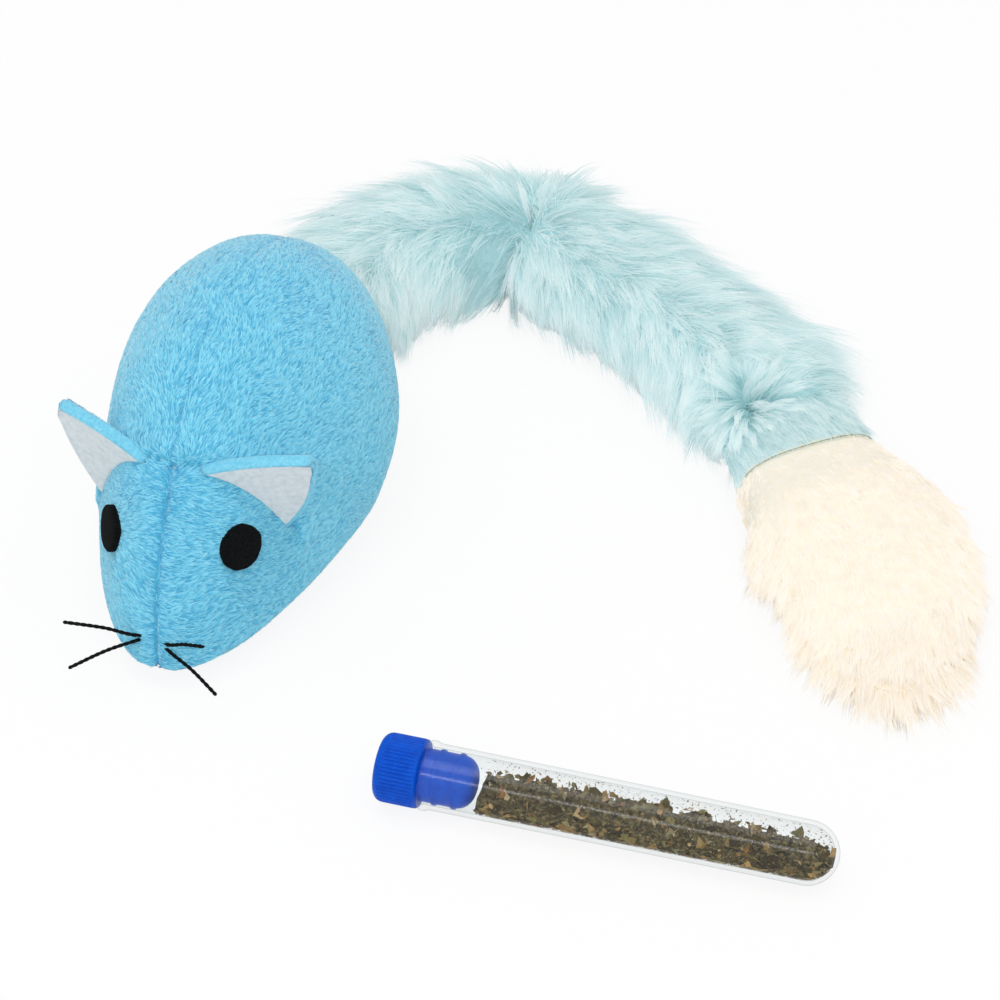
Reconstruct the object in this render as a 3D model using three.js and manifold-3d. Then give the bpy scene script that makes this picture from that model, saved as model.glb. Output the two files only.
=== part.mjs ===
// A stuffed plush mouse with a long fur tail and a catnip pouch in its belly, and the stoppered vial of
// dried catnip that goes with it. Millimetres, +Z up. The mouse faces -Y, its own left side is +X, and it
// stands on z = 0 with the middle of its belly at the origin.
import * as THREE from "three";
import { mergeVertices } from "three/addons/utils/BufferGeometryUtils.js";
import Module from "manifold-3d";

const wasm = await Module();
wasm.setup();
const { degToRad, lerp, smoothstep } = THREE.MathUtils;
const up = new THREE.Vector3(0, 0, 1);
const sideways = new THREE.Vector3(1, 0, 0);
const weldDistance = 1e-4;
const cutOvershoot = 1; // how far a cutting block runs past the faces it cuts through

// Gap between pieces that touch on the real toy, and between the thin layers of the belly closure
const clearance = 0.3;
const layerGap = 0.15;

// Body: two plush side panels and a flat belly panel over a fibre filling
const bodyLength = 92;
const bodyHalfWidth = 27;
const bodyHeight = 57;
const noseToWidest = 53;
const noseToCrown = 33;
const noseHeight = 5.1; // height of the widest line round the body, at the nose and at the rump
const rumpHeight = 23;
const noseTaper = 1.25; // powers of the outline: 2 is an ellipse, less is more pointed
const rumpRoundness = 2.45;
const browRoundness = 1.45;
const backRoundness = 1.93;
const bellyRoundness = 2;
const bellyFullness = 1.4;
const plushThickness = 1.6;
const bellyThickness = 3.2;
const bodyStations = 26;
const bodySides = 36;

// Eyes: felt discs
const eyeLeftFromNose = 13.7; // sewn on by hand, so one sits a little further back than the other
const eyeLeftAngle = degToRad(33.5);
const eyeRightFromNose = 12.4;
const eyeRightAngle = degToRad(35.3);
const eyeRadius = 4.4;
const eyeThickness = 1;
const eyeSides = 28;

// Ears: a plush back and a felt lining, sewn into a dart
const earInnerFromNose = 15.9;
const earInnerAngle = degToRad(69);
const earOuterFromNose = 24.6;
const earOuterAngle = degToRad(19.8);
const earHeight = 18.5;
const earTipAlongBase = 11;
const earTipRadius = 2.4;
const earTipHalfWidth = 2.2;
const earSideDraw = 2.8; // how far the ear's sides draw in from its base by half its height
const earCurveSteps = 6;
const earRoot = 5; // how far the ear's outline runs below its base line before the body cuts it off
const earBackThickness = 1.4;
const earLiningThickness = 0.8;
const earGap = 0.85; // room for the ear to flex above the panel
const earLeanLeft = degToRad(33); // how far each ear lies back from standing square on the head
const earLeanRight = degToRad(42);

// Whiskers: two threads drawn through the nose, each with an end on either side
const threadDiameter = 0.75;
const threadSides = 8;
const threadSteps = 18;
const upperThreadRoute = [ // across, behind the nose, and up
  [-17.2, -1.6, 13.4],
  [-9.6, -0.4, 12.8],
  [-3.2, 0.7, 11.6],
  [-0.6, 3.6, 11.3],
  [2, 0.6, 10.9],
  [6.3, -0.9, 13.1],
  [10.9, -2.4, 15],
];
const lowerThreadRoute = [
  [-15.8, -4.4, 4.6],
  [-8.9, -1.6, 8.4],
  [-3.2, 0.7, 10.53],
  [-0.6, 3.6, 10.23],
  [2, 0.6, 9.83],
  [8, -2.2, 8.3],
  [13.8, -5.3, 6.2],
];

// Catnip pouch and the flap that closes its mouth
const flapHingeY = 3;
const hingeMargin = 4; // flap between its hinge and the mouth
const mouthLength = 13;
const mouthWidth = 14;
const closureLength = 5;
const closureMargin = 0.5; // bare fabric on either side of the hook and loop strips
const sideMargin = 4;
const flapThickness = 0.8;
const flapEdgeSides = 12;
const stripThickness = 0.5;
const pouchLength = 18;
const pouchWidth = 19;
const pouchHeight = 20;
const pouchWall = 1;

// Tail: a sleeve of fur fabric that lies on the floor, creased at its bend, with a flat two-panel tip
const tailHalfWidth = 17;
const tailHalfHeight = 12.8;
const tailFlat = 0.5; // depth of the flat that the tail lies on
const tailSides = 20;
const tailStations = 16;
const tipStations = 14;
const tailRootRadius = 9.5;
const tailRootSink = 2.5; // depth of the tail's root in the rump
const tailSwell = 15; // length over which the root swells to the full tail
const tailStraight = 8;
const tailBendRadius = 34;
const tailBend = degToRad(90);
const creaseBend = degToRad(24);
const creaseReach = degToRad(29); // furthest the tail turns past rest towards the inside of its bend
const creaseFoldRadius = 9; // the hollow that the crease leaves on the inside of the bend
const creaseFoldDepth = 5.5;
const tailMiddleLength = 89;
const tailMiddleBend = degToRad(26);
const tailFlatten = 34; // length over which the tail flattens to the tip's seam
const seamHalfWidth = 14.5;
const seamHalfHeight = 7.5;
const seamCorner = 0.72; // power of the flattened outline: 1 is an ellipse, less has fuller corners
const seamMargin = 1.2; // room behind the seam for the tip's edge to fold into
const tipReach = degToRad(50); // furthest the tip folds up
const tipLength = 66;
const tipBend = degToRad(28);
const tipHalfWidth = 21.5;
const tipWidest = 26; // how far past its seam the tip is widest
const tipRoundness = 2.2;
const tipUnderLength = 4; // how far the lower tip panel shows past the upper one

// Vial: a round-ended tube with a plug stopper, lying along X
const vialMouthX = 56.5;
const vialY = -60.5;
const tubeLength = 75;
const tubeMouthRadius = 6.05;
const tubeEndRadius = 5.75;
const tubeWall = 0.8;
const lipRadius = 6.4;
const lipLength = 1.6;
const capRadius = 6.3;
const capLength = 8;
const capChamfer = 0.8;
const capRibs = 54;
const capRibDepth = 0.25;
const plugLength = 9.5;
const plugRadius = 4.5;
const plugRingInset = [2.6, 6.2];
const plugRingHalfLength = 0.45;
const plugNose = 2; // radius of the plug's rounded end
const plugOverlap = 0.5; // how far the plug runs into the cap's head
const catnipLevel = -0.6; // height of the catnip's surface above the vial's axis
const vialSides = 24;
const roundEndSteps = 6;

// Geometry helpers

// A manifold solid from a three.js geometry.
function solidOf(geometry) {
  const plain = geometry.clone();
  plain.deleteAttribute("normal");
  plain.deleteAttribute("uv");
  const merged = mergeVertices(plain, weldDistance);
  const mesh = new wasm.Mesh({
    numProp: 3,
    vertProperties: merged.attributes.position.array,
    triVerts: new Uint32Array(merged.index.array),
  });
  return new wasm.Manifold(mesh);
}

// A three.js geometry from a manifold solid.
function geometryOf(solid) {
  const mesh = solid.getMesh();
  const geometry = new THREE.BufferGeometry();
  geometry.setAttribute("position", new THREE.BufferAttribute(mesh.vertProperties, 3));
  geometry.setIndex(new THREE.BufferAttribute(mesh.triVerts, 1));
  const faceted = geometry.toNonIndexed();
  faceted.computeVertexNormals();
  return faceted;
}

// A closed skin over rings of points. A ring of one point is a pole. An open end is closed to its middle.
function loft(rings) {
  const middle = (ring) => {
    const sum = new THREE.Vector3();
    for (const point of ring) sum.add(point);
    return sum.divideScalar(ring.length);
  };
  const closed = [...rings];
  if (closed[0].length > 1) closed.unshift([middle(closed[0])]);
  if (closed.at(-1).length > 1) closed.push([middle(closed.at(-1))]);
  const starts = [];
  const points = [];
  for (const ring of closed) {
    starts.push(points.length);
    points.push(...ring);
  }
  const index = [];
  for (let i = 0; i + 1 < closed.length; i++) {
    const here = closed[i].length;
    const next = closed[i + 1].length;
    const sides = Math.max(here, next);
    for (let j = 0; j < sides; j++) {
      const a = starts[i] + (j % here);
      const b = starts[i] + ((j + 1) % here);
      const c = starts[i + 1] + (j % next);
      const d = starts[i + 1] + ((j + 1) % next);
      if (next > 1) index.push(a, c, d);
      if (here > 1) index.push(a, d, b);
    }
  }
  const geometry = new THREE.BufferGeometry().setFromPoints(points);
  geometry.setIndex(index);
  return solidOf(geometry);
}

// A box from its low and high corners.
function box(low, high) {
  const size = high.map((value, axis) => value - low[axis]);
  const centre = high.map((value, axis) => (value + low[axis]) / 2);
  return solidOf(new THREE.BoxGeometry(...size).translate(...centre));
}

// An ellipsoid that is round about Z.
function ellipsoid(centre, radius, halfHeight) {
  const geometry = new THREE.SphereGeometry(1, tailSides, tailSides / 2);
  geometry.rotateX(Math.PI / 2);
  geometry.scale(radius, radius, halfHeight);
  geometry.translate(centre.x, centre.y, centre.z);
  return solidOf(geometry);
}

// The part of a solid on the far side of a plane through a point, the way the normal points.
function beyond(solid, point, normal) {
  return solid.trimByPlane(normal.toArray(), normal.dot(point));
}

const toy = new THREE.Group();

function addPiece(name, solid, look) {
  const mesh = new THREE.Mesh(geometryOf(solid), new THREE.MeshStandardMaterial(look));
  mesh.name = name;
  toy.add(mesh);
}

const bluePlush = { color: 0x6fcbe8, roughness: 0.95 };
const whiteFelt = { color: 0xf2f4f5, roughness: 0.95 };
const blackFelt = { color: 0x15181a, roughness: 0.95 };
const blackThread = { color: 0x15181a, roughness: 0.8 };
const aquaFur = { color: 0xbfe3e6, roughness: 0.95 };
const creamFur = { color: 0xfdf3e3, roughness: 0.95 };
const whiteFibre = { color: 0xf4f4f2, roughness: 1 };
const blueLining = { color: 0x9fd8ea, roughness: 0.9 };
const whiteTape = { color: 0xf2f4f5, roughness: 0.8 };
const clearPlastic = { color: 0xe8eef0, roughness: 0.1 };
const bluePlastic = { color: 0x0453c9, roughness: 0.4 };
const driedHerb = { color: 0x7c7658, roughness: 1 };

// Body

const noseY = -bodyLength / 2;

// How full the body is at y: 0 at its ends and 1 at the peak.
function fullness(y, nose, rump, peak, nosePower, rumpPower) {
  if (y < peak) return Math.sqrt(Math.max(0, 1 - ((peak - y) / (peak - nose)) ** nosePower));
  return Math.sqrt(Math.max(0, 1 - ((y - peak) / (rump - peak)) ** rumpPower));
}

// A point of the body's surface drawn in by inset. Along runs from 0 at the nose to 1 at the rump, and angle
// turns from the mouse's left side over its back.
function bodyPoint(along, angle, inset) {
  const nose = noseY + inset;
  const rump = -nose;
  const y = lerp(nose, rump, along);
  const crownY = noseY + noseToCrown;
  const waist = lerp(noseHeight, rumpHeight, along);
  const crownWaist = lerp(noseHeight, rumpHeight, noseToCrown / bodyLength);
  const width = fullness(y, nose, rump, noseY + noseToWidest, noseTaper, rumpRoundness);
  const rise = fullness(y, nose, rump, crownY, browRoundness, backRoundness);
  const drop = fullness(y, nose, rump, 0, bellyRoundness, bellyRoundness);
  const lift = Math.sin(angle);
  const above = (bodyHeight - inset - crownWaist) * rise;
  const below = (waist * bellyFullness - inset) * drop;
  const x = (bodyHalfWidth - inset) * width * Math.cos(angle);
  return new THREE.Vector3(x, y, waist + (lift > 0 ? above : below) * lift);
}

// The body's outward normal.
function bodyNormal(along, angle) {
  const step = 1e-3;
  const lengthwise = bodyPoint(along + step, angle, 0).sub(bodyPoint(along - step, angle, 0));
  const around = bodyPoint(along, angle + step, 0).sub(bodyPoint(along, angle - step, 0));
  return lengthwise.cross(around).normalize();
}

// The whole body drawn in by inset, or swollen where inset is negative.
function bodyForm(inset) {
  const rings = [[bodyPoint(0, 0, inset)]];
  for (let i = 1; i < bodyStations; i++) {
    const along = (1 - Math.cos((Math.PI * i) / bodyStations)) / 2;
    const ring = [];
    for (let j = 0; j < bodySides; j++) {
      const angle = (2 * Math.PI * j) / bodySides;
      ring.push(bodyPoint(along, angle, inset));
    }
    rings.push(ring);
  }
  rings.push([bodyPoint(1, 0, inset)]);
  return loft(rings);
}

// Tail path: each stretch is an arc on the floor, from a point and a heading

function headingVector(heading) {
  return new THREE.Vector3(Math.cos(heading), Math.sin(heading), 0);
}

// The point and heading after a run of the given length that turns clockwise by bend.
function follow(start, length, bend) {
  const end = start.point.clone();
  const halfBend = bend / 2;
  const chord = halfBend ? (length * Math.sin(halfBend)) / halfBend : length;
  end.addScaledVector(headingVector(start.heading - halfBend), chord);
  return { point: end, heading: start.heading - bend };
}

const tailCentreZ = tailHalfHeight - tailFlat;
const seamCentreZ = seamHalfHeight - tailFlat;
const tailRoot = {
  point: new THREE.Vector3(0, bodyLength / 2 + tailRootRadius - tailRootSink, tailCentreZ),
  heading: Math.PI / 2,
};
const bendStart = follow(tailRoot, tailStraight, 0);
const crease = follow(bendStart, tailBendRadius * tailBend, tailBend);
const middleStart = { point: crease.point, heading: crease.heading - creaseBend };
const middleEnd = follow(middleStart, tailMiddleLength, tailMiddleBend);
const tipHinge = { point: middleEnd.point.clone().setZ(seamCentreZ), heading: middleEnd.heading };

// One ring of the tail, upright across the heading, with corners as full as the power corner makes them.
function tailRing(place, halfWidth, halfHeight, corner) {
  const across = headingVector(place.heading).cross(up);
  const centre = place.point.clone().setZ(halfHeight - tailFlat);
  const filled = (share) => Math.sign(share) * Math.abs(share) ** corner;
  const ring = [];
  for (let j = 0; j < tailSides; j++) {
    const angle = (2 * Math.PI * j) / tailSides;
    const point = centre.clone().addScaledVector(across, halfWidth * filled(Math.cos(angle)));
    ring.push(point.addScaledVector(up, halfHeight * filled(Math.sin(angle))));
  }
  return ring;
}

function aboveFloor(solid) {
  return beyond(solid, new THREE.Vector3(), up);
}

function makeTailBase() {
  const rings = [];
  const length = tailStraight + tailBendRadius * tailBend;
  for (let i = 0; i <= tailStations; i++) {
    const run = (length * i) / tailStations;
    const place =
      run < tailStraight
        ? follow(tailRoot, run, 0)
        : follow(bendStart, run - tailStraight, (run - tailStraight) / tailBendRadius);
    const swell = smoothstep(run, 0, tailSwell);
    const ring = tailRing(place, lerp(tailRootRadius, tailHalfWidth, swell), tailHalfHeight, 1);
    const squat = lerp(tailRootRadius / tailHalfHeight, 1, swell);
    for (const point of ring) point.z = tailCentreZ + (point.z - tailCentreZ) * squat;
    rings.push(ring);
  }
  const socket = ellipsoid(crease.point, tailHalfWidth + clearance, tailHalfHeight + clearance);
  const rimRoom = tailHalfWidth * Math.tan((creaseBend + creaseReach) / 2);
  const rim = crease.point.clone().addScaledVector(headingVector(crease.heading), -rimRoom);
  const root = ellipsoid(tailRoot.point, tailRootRadius, tailRootRadius);
  const trimmed = beyond(loft(rings).add(root), rim, headingVector(crease.heading).negate());
  return aboveFloor(trimmed.subtract(socket));
}

// The round bar at the tip's seam that the tip folds about.
function seamBar(radius) {
  const length = 2 * (seamHalfWidth + tailHalfWidth);
  const geometry = new THREE.CylinderGeometry(radius, radius, length, tailSides);
  geometry.rotateZ(tipHinge.heading);
  geometry.translate(tipHinge.point.x, tipHinge.point.y, tipHinge.point.z);
  return solidOf(geometry);
}

// The upright hollow on the inside of the crease.
function creaseFold() {
  const inside = headingVector((crease.heading + middleStart.heading) / 2).cross(up);
  const reach = tailHalfWidth - creaseFoldDepth + creaseFoldRadius;
  const centre = crease.point.clone().addScaledVector(inside, reach);
  const height = 2 * (tailHalfHeight + cutOvershoot);
  const geometry = new THREE.CylinderGeometry(creaseFoldRadius, creaseFoldRadius, height, tailSides);
  geometry.rotateX(Math.PI / 2);
  geometry.translate(centre.x, centre.y, centre.z);
  return solidOf(geometry);
}

function makeTailMiddle() {
  const rings = [];
  for (let i = 0; i <= tailStations; i++) {
    const share = i / tailStations;
    const run = tailMiddleLength * share;
    const place = follow(middleStart, run, tailMiddleBend * share);
    const flatten = smoothstep(run, tailMiddleLength - tailFlatten, tailMiddleLength);
    const halfWidth = lerp(tailHalfWidth, seamHalfWidth, flatten);
    const halfHeight = lerp(tailHalfHeight, seamHalfHeight, flatten);
    rings.push(tailRing(place, halfWidth, halfHeight, lerp(1, seamCorner, flatten)));
  }
  const knuckle = ellipsoid(crease.point, tailHalfWidth, tailHalfHeight);
  const foldRoom = (seamHalfHeight + clearance) * Math.tan(tipReach / 2);
  const forward = headingVector(tipHinge.heading);
  const rim = tipHinge.point.clone().addScaledVector(forward, -foldRoom - seamMargin);
  const trimmed = beyond(loft(rings), rim, forward.clone().negate());
  const whole = trimmed.add(knuckle).subtract(creaseFold());
  return aboveFloor(whole.subtract(seamBar(seamHalfHeight + clearance)));
}

// The swelling, round-ended form of the tail's tip.
function tipForm(length) {
  const placeAt = (run) => follow(tipHinge, run, (tipBend * run) / tipLength);
  const rings = [];
  for (let i = 0; i < tipStations; i++) {
    const run = length * Math.sin((Math.PI * i) / (2 * tipStations));
    const spread = lerp(seamHalfWidth, tipHalfWidth, smoothstep(run, 0, tipWidest));
    const past = Math.max(0, run - tipWidest) / (length - tipWidest);
    const rounding = Math.sqrt(1 - past ** tipRoundness);
    const ring = tailRing(placeAt(run), spread * rounding, seamHalfHeight, seamCorner);
    const squat = Math.sqrt(rounding);
    for (const point of ring) point.z = seamCentreZ + (point.z - seamCentreZ) * squat;
    rings.push(ring);
  }
  rings.push([placeAt(length).point]);
  const bar = seamBar(seamHalfHeight);
  const barEnd = headingVector(tipHinge.heading).cross(up);
  const oneSide = tipHinge.point.clone().addScaledVector(barEnd, seamHalfWidth);
  const otherSide = tipHinge.point.clone().addScaledVector(barEnd, -seamHalfWidth);
  const knuckle = beyond(beyond(bar, oneSide, barEnd.clone().negate()), otherSide, barEnd);
  return aboveFloor(loft(rings).add(knuckle));
}

addPiece("tail_base", makeTailBase(), aquaFur);
addPiece("tail_middle", makeTailMiddle(), aquaFur);

const tipUpperFloor = tipHinge.point.clone().addScaledVector(up, clearance / 2);
const tipLowerCeiling = tipHinge.point.clone().addScaledVector(up, -clearance / 2);
const tipUpper = beyond(tipForm(tipLength), tipUpperFloor, up);
const tipLower = beyond(tipForm(tipLength + tipUnderLength), tipLowerCeiling, up.clone().negate());
addPiece("tail_tip_upper", tipUpper, creamFur);
addPiece("tail_tip_lower", tipLower, creamFur);

// Whisker threads

function threadTube(route, diameter) {
  const points = route.map(([across, behind, height]) => new THREE.Vector3(across, noseY + behind, height));
  const curve = new THREE.CatmullRomCurve3(points, false, "centripetal");
  const section = new THREE.Shape();
  for (let j = 0; j < threadSides; j++) {
    const angle = (2 * Math.PI * j) / threadSides;
    const corner = [(diameter / 2) * Math.cos(angle), (diameter / 2) * Math.sin(angle)];
    if (j === 0) section.moveTo(...corner);
    else section.lineTo(...corner);
  }
  section.closePath();
  return solidOf(new THREE.ExtrudeGeometry(section, { steps: threadSteps, extrudePath: curve }));
}

const threadHoles = [upperThreadRoute, lowerThreadRoute].map((route) =>
  threadTube(route, threadDiameter + 2 * clearance),
);
addPiece("whisker_thread_upper", threadTube(upperThreadRoute, threadDiameter), blackThread);
addPiece("whisker_thread_lower", threadTube(lowerThreadRoute, threadDiameter), blackThread);

// Body pieces

const rumpSocket = ellipsoid(tailRoot.point, tailRootRadius + clearance, tailRootRadius + clearance);

function openedForThreadsAndTail(solid) {
  return threadHoles.reduce((left, hole) => left.subtract(hole), solid.subtract(rumpSocket));
}

const bodyOuter = bodyForm(0);
const plushSkin = openedForThreadsAndTail(bodyOuter.subtract(bodyForm(plushThickness)));
const skinFoot = new THREE.Vector3(0, 0, bellyThickness + clearance);
const raisedSkin = beyond(plushSkin, skinFoot, up);
for (const [name, side] of [
  ["side_panel_left", 1],
  ["side_panel_right", -1],
]) {
  const outward = sideways.clone().multiplyScalar(side);
  const seam = outward.clone().multiplyScalar(clearance / 2);
  addPiece(name, beyond(raisedSkin, seam, outward), bluePlush);
}

// Belly closure levels, from the floor up: flap, hook strip, loop strip, and the panel's recessed ceiling
const hookFoot = flapThickness + layerGap;
const loopFoot = hookFoot + stripThickness + layerGap;
const recessCeiling = loopFoot + stripThickness + layerGap;
const mouthStart = flapHingeY + hingeMargin;
const mouthEnd = mouthStart + mouthLength;
const stripStart = mouthEnd + closureMargin;
const stripEnd = stripStart + closureLength;
const flapEnd = stripEnd + closureMargin;
const flapHalfWidth = mouthWidth / 2 + sideMargin;
const flapRound = flapThickness / 2;

const bellyTop = new THREE.Vector3(0, 0, bellyThickness);
const bellySlab = aboveFloor(beyond(bodyOuter, bellyTop, up.clone().negate()));
const flapRecess = box(
  [-flapHalfWidth - clearance, flapHingeY - flapRound - clearance, -cutOvershoot],
  [flapHalfWidth + clearance, flapEnd + clearance, recessCeiling],
);
const mouthHole = box(
  [-mouthWidth / 2, mouthStart, -cutOvershoot],
  [mouthWidth / 2, mouthEnd, bellyThickness + cutOvershoot],
);
addPiece("belly_panel", bellySlab.subtract(flapRecess).subtract(mouthHole), bluePlush);

const flapEdge = new THREE.CylinderGeometry(flapRound, flapRound, 2 * flapHalfWidth, flapEdgeSides);
flapEdge.rotateZ(Math.PI / 2);
flapEdge.translate(0, flapHingeY, flapRound);
const flapSheet = box([-flapHalfWidth, flapHingeY, 0], [flapHalfWidth, flapEnd, flapThickness]);
addPiece("belly_flap", flapSheet.add(solidOf(flapEdge)), bluePlush);

const stripHalfWidth = mouthWidth / 2 + sideMargin / 2;
function closureStrip(foot) {
  return box([-stripHalfWidth, stripStart, foot], [stripHalfWidth, stripEnd, foot + stripThickness]);
}
addPiece("flap_hook_strip", closureStrip(hookFoot), whiteTape);
addPiece("belly_loop_strip", closureStrip(loopFoot), whiteTape);

// Pouch over the mouth, open downwards, and the filling packed round it
const pouchFoot = bellyThickness + clearance;
const mouthMiddle = (mouthStart + mouthEnd) / 2;
function pouchBlock(grow, foot) {
  return box(
    [-pouchWidth / 2 - grow, mouthMiddle - pouchLength / 2 - grow, foot],
    [pouchWidth / 2 + grow, mouthMiddle + pouchLength / 2 + grow, pouchFoot + pouchHeight + grow],
  );
}
addPiece("catnip_pouch", pouchBlock(0, pouchFoot).subtract(pouchBlock(-pouchWall, 0)), blueLining);

const fillingForm = openedForThreadsAndTail(bodyForm(plushThickness + clearance));
const fillingFoot = new THREE.Vector3(0, 0, pouchFoot);
const filling = beyond(fillingForm.subtract(pouchBlock(clearance, 0)), fillingFoot, up);
addPiece("fibre_filling", filling, whiteFibre);

// Eyes: discs that lie on the curve of the face
const eyeShell = bodyForm(-clearance - eyeThickness).subtract(bodyForm(-clearance));
for (const [name, fromNose, angle] of [
  ["eye_left", eyeLeftFromNose, eyeLeftAngle],
  ["eye_right", eyeRightFromNose, Math.PI - eyeRightAngle],
]) {
  const along = fromNose / bodyLength;
  const centre = bodyPoint(along, angle, 0);
  const normal = bodyNormal(along, angle);
  const punch = new THREE.CylinderGeometry(eyeRadius, eyeRadius, 2 * eyeRadius, eyeSides);
  punch.rotateX(Math.PI / 2);
  punch.applyQuaternion(new THREE.Quaternion().setFromUnitVectors(up, normal));
  punch.translate(centre.x, centre.y, centre.z);
  addPiece(name, solidOf(punch).intersect(eyeShell), blackFelt);
}

// Ears: flat layers standing on the side panels

// The ear's outline: along its base line and up from it, with a round tip.
function earOutline(baseLength) {
  const halfWay = earHeight / 2;
  const shoulder = earHeight - earTipRadius;
  const tipStart = earTipAlongBase + earTipHalfWidth;
  const tipEnd = earTipAlongBase - earTipHalfWidth;
  const shape = new THREE.Shape();
  shape.moveTo(0, -earRoot);
  shape.lineTo(baseLength, -earRoot);
  shape.lineTo(baseLength, 0);
  shape.quadraticCurveTo(baseLength - earSideDraw, halfWay, tipStart, shoulder);
  shape.quadraticCurveTo(earTipAlongBase, earHeight + earTipRadius, tipEnd, shoulder);
  shape.quadraticCurveTo(earSideDraw, halfWay, 0, 0);
  shape.closePath();
  return shape;
}

const earSeat = bodyForm(-earGap);
for (const [ear, side, lean] of [
  ["ear_left", 1, earLeanLeft],
  ["ear_right", -1, earLeanRight],
]) {
  const turn = (angle) => (side > 0 ? angle : Math.PI - angle);
  const inner = bodyPoint(earInnerFromNose / bodyLength, turn(earInnerAngle), 0);
  const outer = bodyPoint(earOuterFromNose / bodyLength, turn(earOuterAngle), 0);
  const middleAlong = (earInnerFromNose + earOuterFromNose) / 2 / bodyLength;
  const middleAngle = turn((earInnerAngle + earOuterAngle) / 2);
  const base = outer.clone().sub(inner);
  const baseLength = base.length();
  base.normalize();
  const stand = bodyNormal(middleAlong, middleAngle);
  stand.addScaledVector(base, -stand.dot(base)).normalize();
  stand.applyAxisAngle(base, -side * lean);
  const turned = new THREE.Matrix4().makeBasis(base, stand, base.clone().cross(stand));
  const layerOf = (thickness, towardsFront) => {
    const sheet = new THREE.ExtrudeGeometry(earOutline(baseLength), {
      depth: thickness,
      bevelEnabled: false,
      curveSegments: earCurveSteps,
    });
    const offset = (towardsFront * (layerGap + thickness)) / 2;
    sheet.translate(0, 0, offset - thickness / 2);
    sheet.applyMatrix4(turned.clone().setPosition(inner));
    return solidOf(sheet).subtract(earSeat);
  };
  addPiece(ear + "_back", layerOf(earBackThickness, -side), bluePlush);
  addPiece(ear + "_lining", layerOf(earLiningThickness, side), whiteFelt);
}

// Vial pieces, turned about their own axis and then laid along X

// Lays a solid of revolution along +X with its start at x.
function laidAlongX(profile, x) {
  const geometry = new THREE.LatheGeometry(profile, vialSides);
  geometry.rotateZ(-Math.PI / 2);
  geometry.translate(x, vialY, lipRadius);
  return solidOf(geometry);
}

function tubeRadius(run) {
  return lerp(tubeMouthRadius, tubeEndRadius, run / tubeLength);
}

// The profile of the tube's round end, from its wall to the axis, with the wall drawn in by inset.
function roundEnd(inset) {
  const start = tubeLength - tubeEndRadius;
  const radius = tubeRadius(start) - inset;
  const points = [];
  for (let i = 0; i <= roundEndSteps; i++) {
    const angle = (Math.PI / 2) * (i / roundEndSteps);
    points.push(new THREE.Vector2(radius * Math.cos(angle), start + radius * Math.sin(angle)));
  }
  points.at(-1).x = 0;
  return points;
}

const boreRadius = tubeRadius(0) - tubeWall;
const tubeProfile = [
  new THREE.Vector2(boreRadius, 0),
  new THREE.Vector2(lipRadius, 0),
  new THREE.Vector2(lipRadius, lipLength),
  new THREE.Vector2(tubeRadius(lipLength), lipLength),
  ...roundEnd(0),
  ...roundEnd(tubeWall).reverse(),
  new THREE.Vector2(boreRadius, 0),
];
addPiece("vial_tube", laidAlongX(tubeProfile, vialMouthX), clearPlastic);

const ringRadius = tubeRadius(plugRingInset.at(-1)) - tubeWall - clearance;
const plugStart = -clearance - plugOverlap;
const plugProfile = [new THREE.Vector2(0, plugStart), new THREE.Vector2(plugRadius, plugStart)];
for (const inset of plugRingInset) {
  plugProfile.push(
    new THREE.Vector2(plugRadius, inset - plugRingHalfLength),
    new THREE.Vector2(ringRadius, inset),
    new THREE.Vector2(plugRadius, inset + plugRingHalfLength),
  );
}
for (let i = 0; i <= roundEndSteps; i++) {
  const angle = (Math.PI / 2) * (i / roundEndSteps);
  const inwards = plugNose * (1 - Math.cos(angle));
  const backwards = plugNose * (1 - Math.sin(angle));
  plugProfile.push(new THREE.Vector2(plugRadius - inwards, plugLength - backwards));
}
plugProfile.push(new THREE.Vector2(0, plugLength));

// The cap's ribbed head, with its outer edge chamfered.
const capStart = vialMouthX - clearance - capLength;
function capHead() {
  const outline = new THREE.Shape();
  for (let i = 0; i < 2 * capRibs; i++) {
    const angle = (Math.PI * i) / capRibs;
    const radius = capRadius - (i % 2) * capRibDepth;
    const corner = [radius * Math.cos(angle), radius * Math.sin(angle)];
    if (i === 0) outline.moveTo(...corner);
    else outline.lineTo(...corner);
  }
  outline.closePath();
  const ribbed = new THREE.ExtrudeGeometry(outline, { depth: capLength, bevelEnabled: false });
  ribbed.rotateY(Math.PI / 2);
  ribbed.translate(capStart, vialY, lipRadius);
  const chamfer = [
    new THREE.Vector2(0, 0),
    new THREE.Vector2(capRadius - capChamfer, 0),
    new THREE.Vector2(capRadius + capRibDepth, capChamfer + capRibDepth),
    new THREE.Vector2(capRadius + capRibDepth, capLength),
    new THREE.Vector2(0, capLength),
  ];
  return solidOf(ribbed).intersect(laidAlongX(chamfer, capStart));
}
addPiece("vial_stopper", capHead().add(laidAlongX(plugProfile, vialMouthX)), bluePlastic);

const catnipStart = plugLength + 2 * clearance;
const catnipProfile = [
  new THREE.Vector2(0, catnipStart),
  new THREE.Vector2(tubeRadius(catnipStart) - tubeWall - clearance, catnipStart),
  ...roundEnd(tubeWall + clearance),
];
const catnipTop = new THREE.Vector3(0, 0, lipRadius + catnipLevel);
const catnipBed = beyond(laidAlongX(catnipProfile, vialMouthX), catnipTop, up.clone().negate());
addPiece("vial_catnip", catnipBed, driedHerb);

export default toy;
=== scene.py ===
import math

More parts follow.
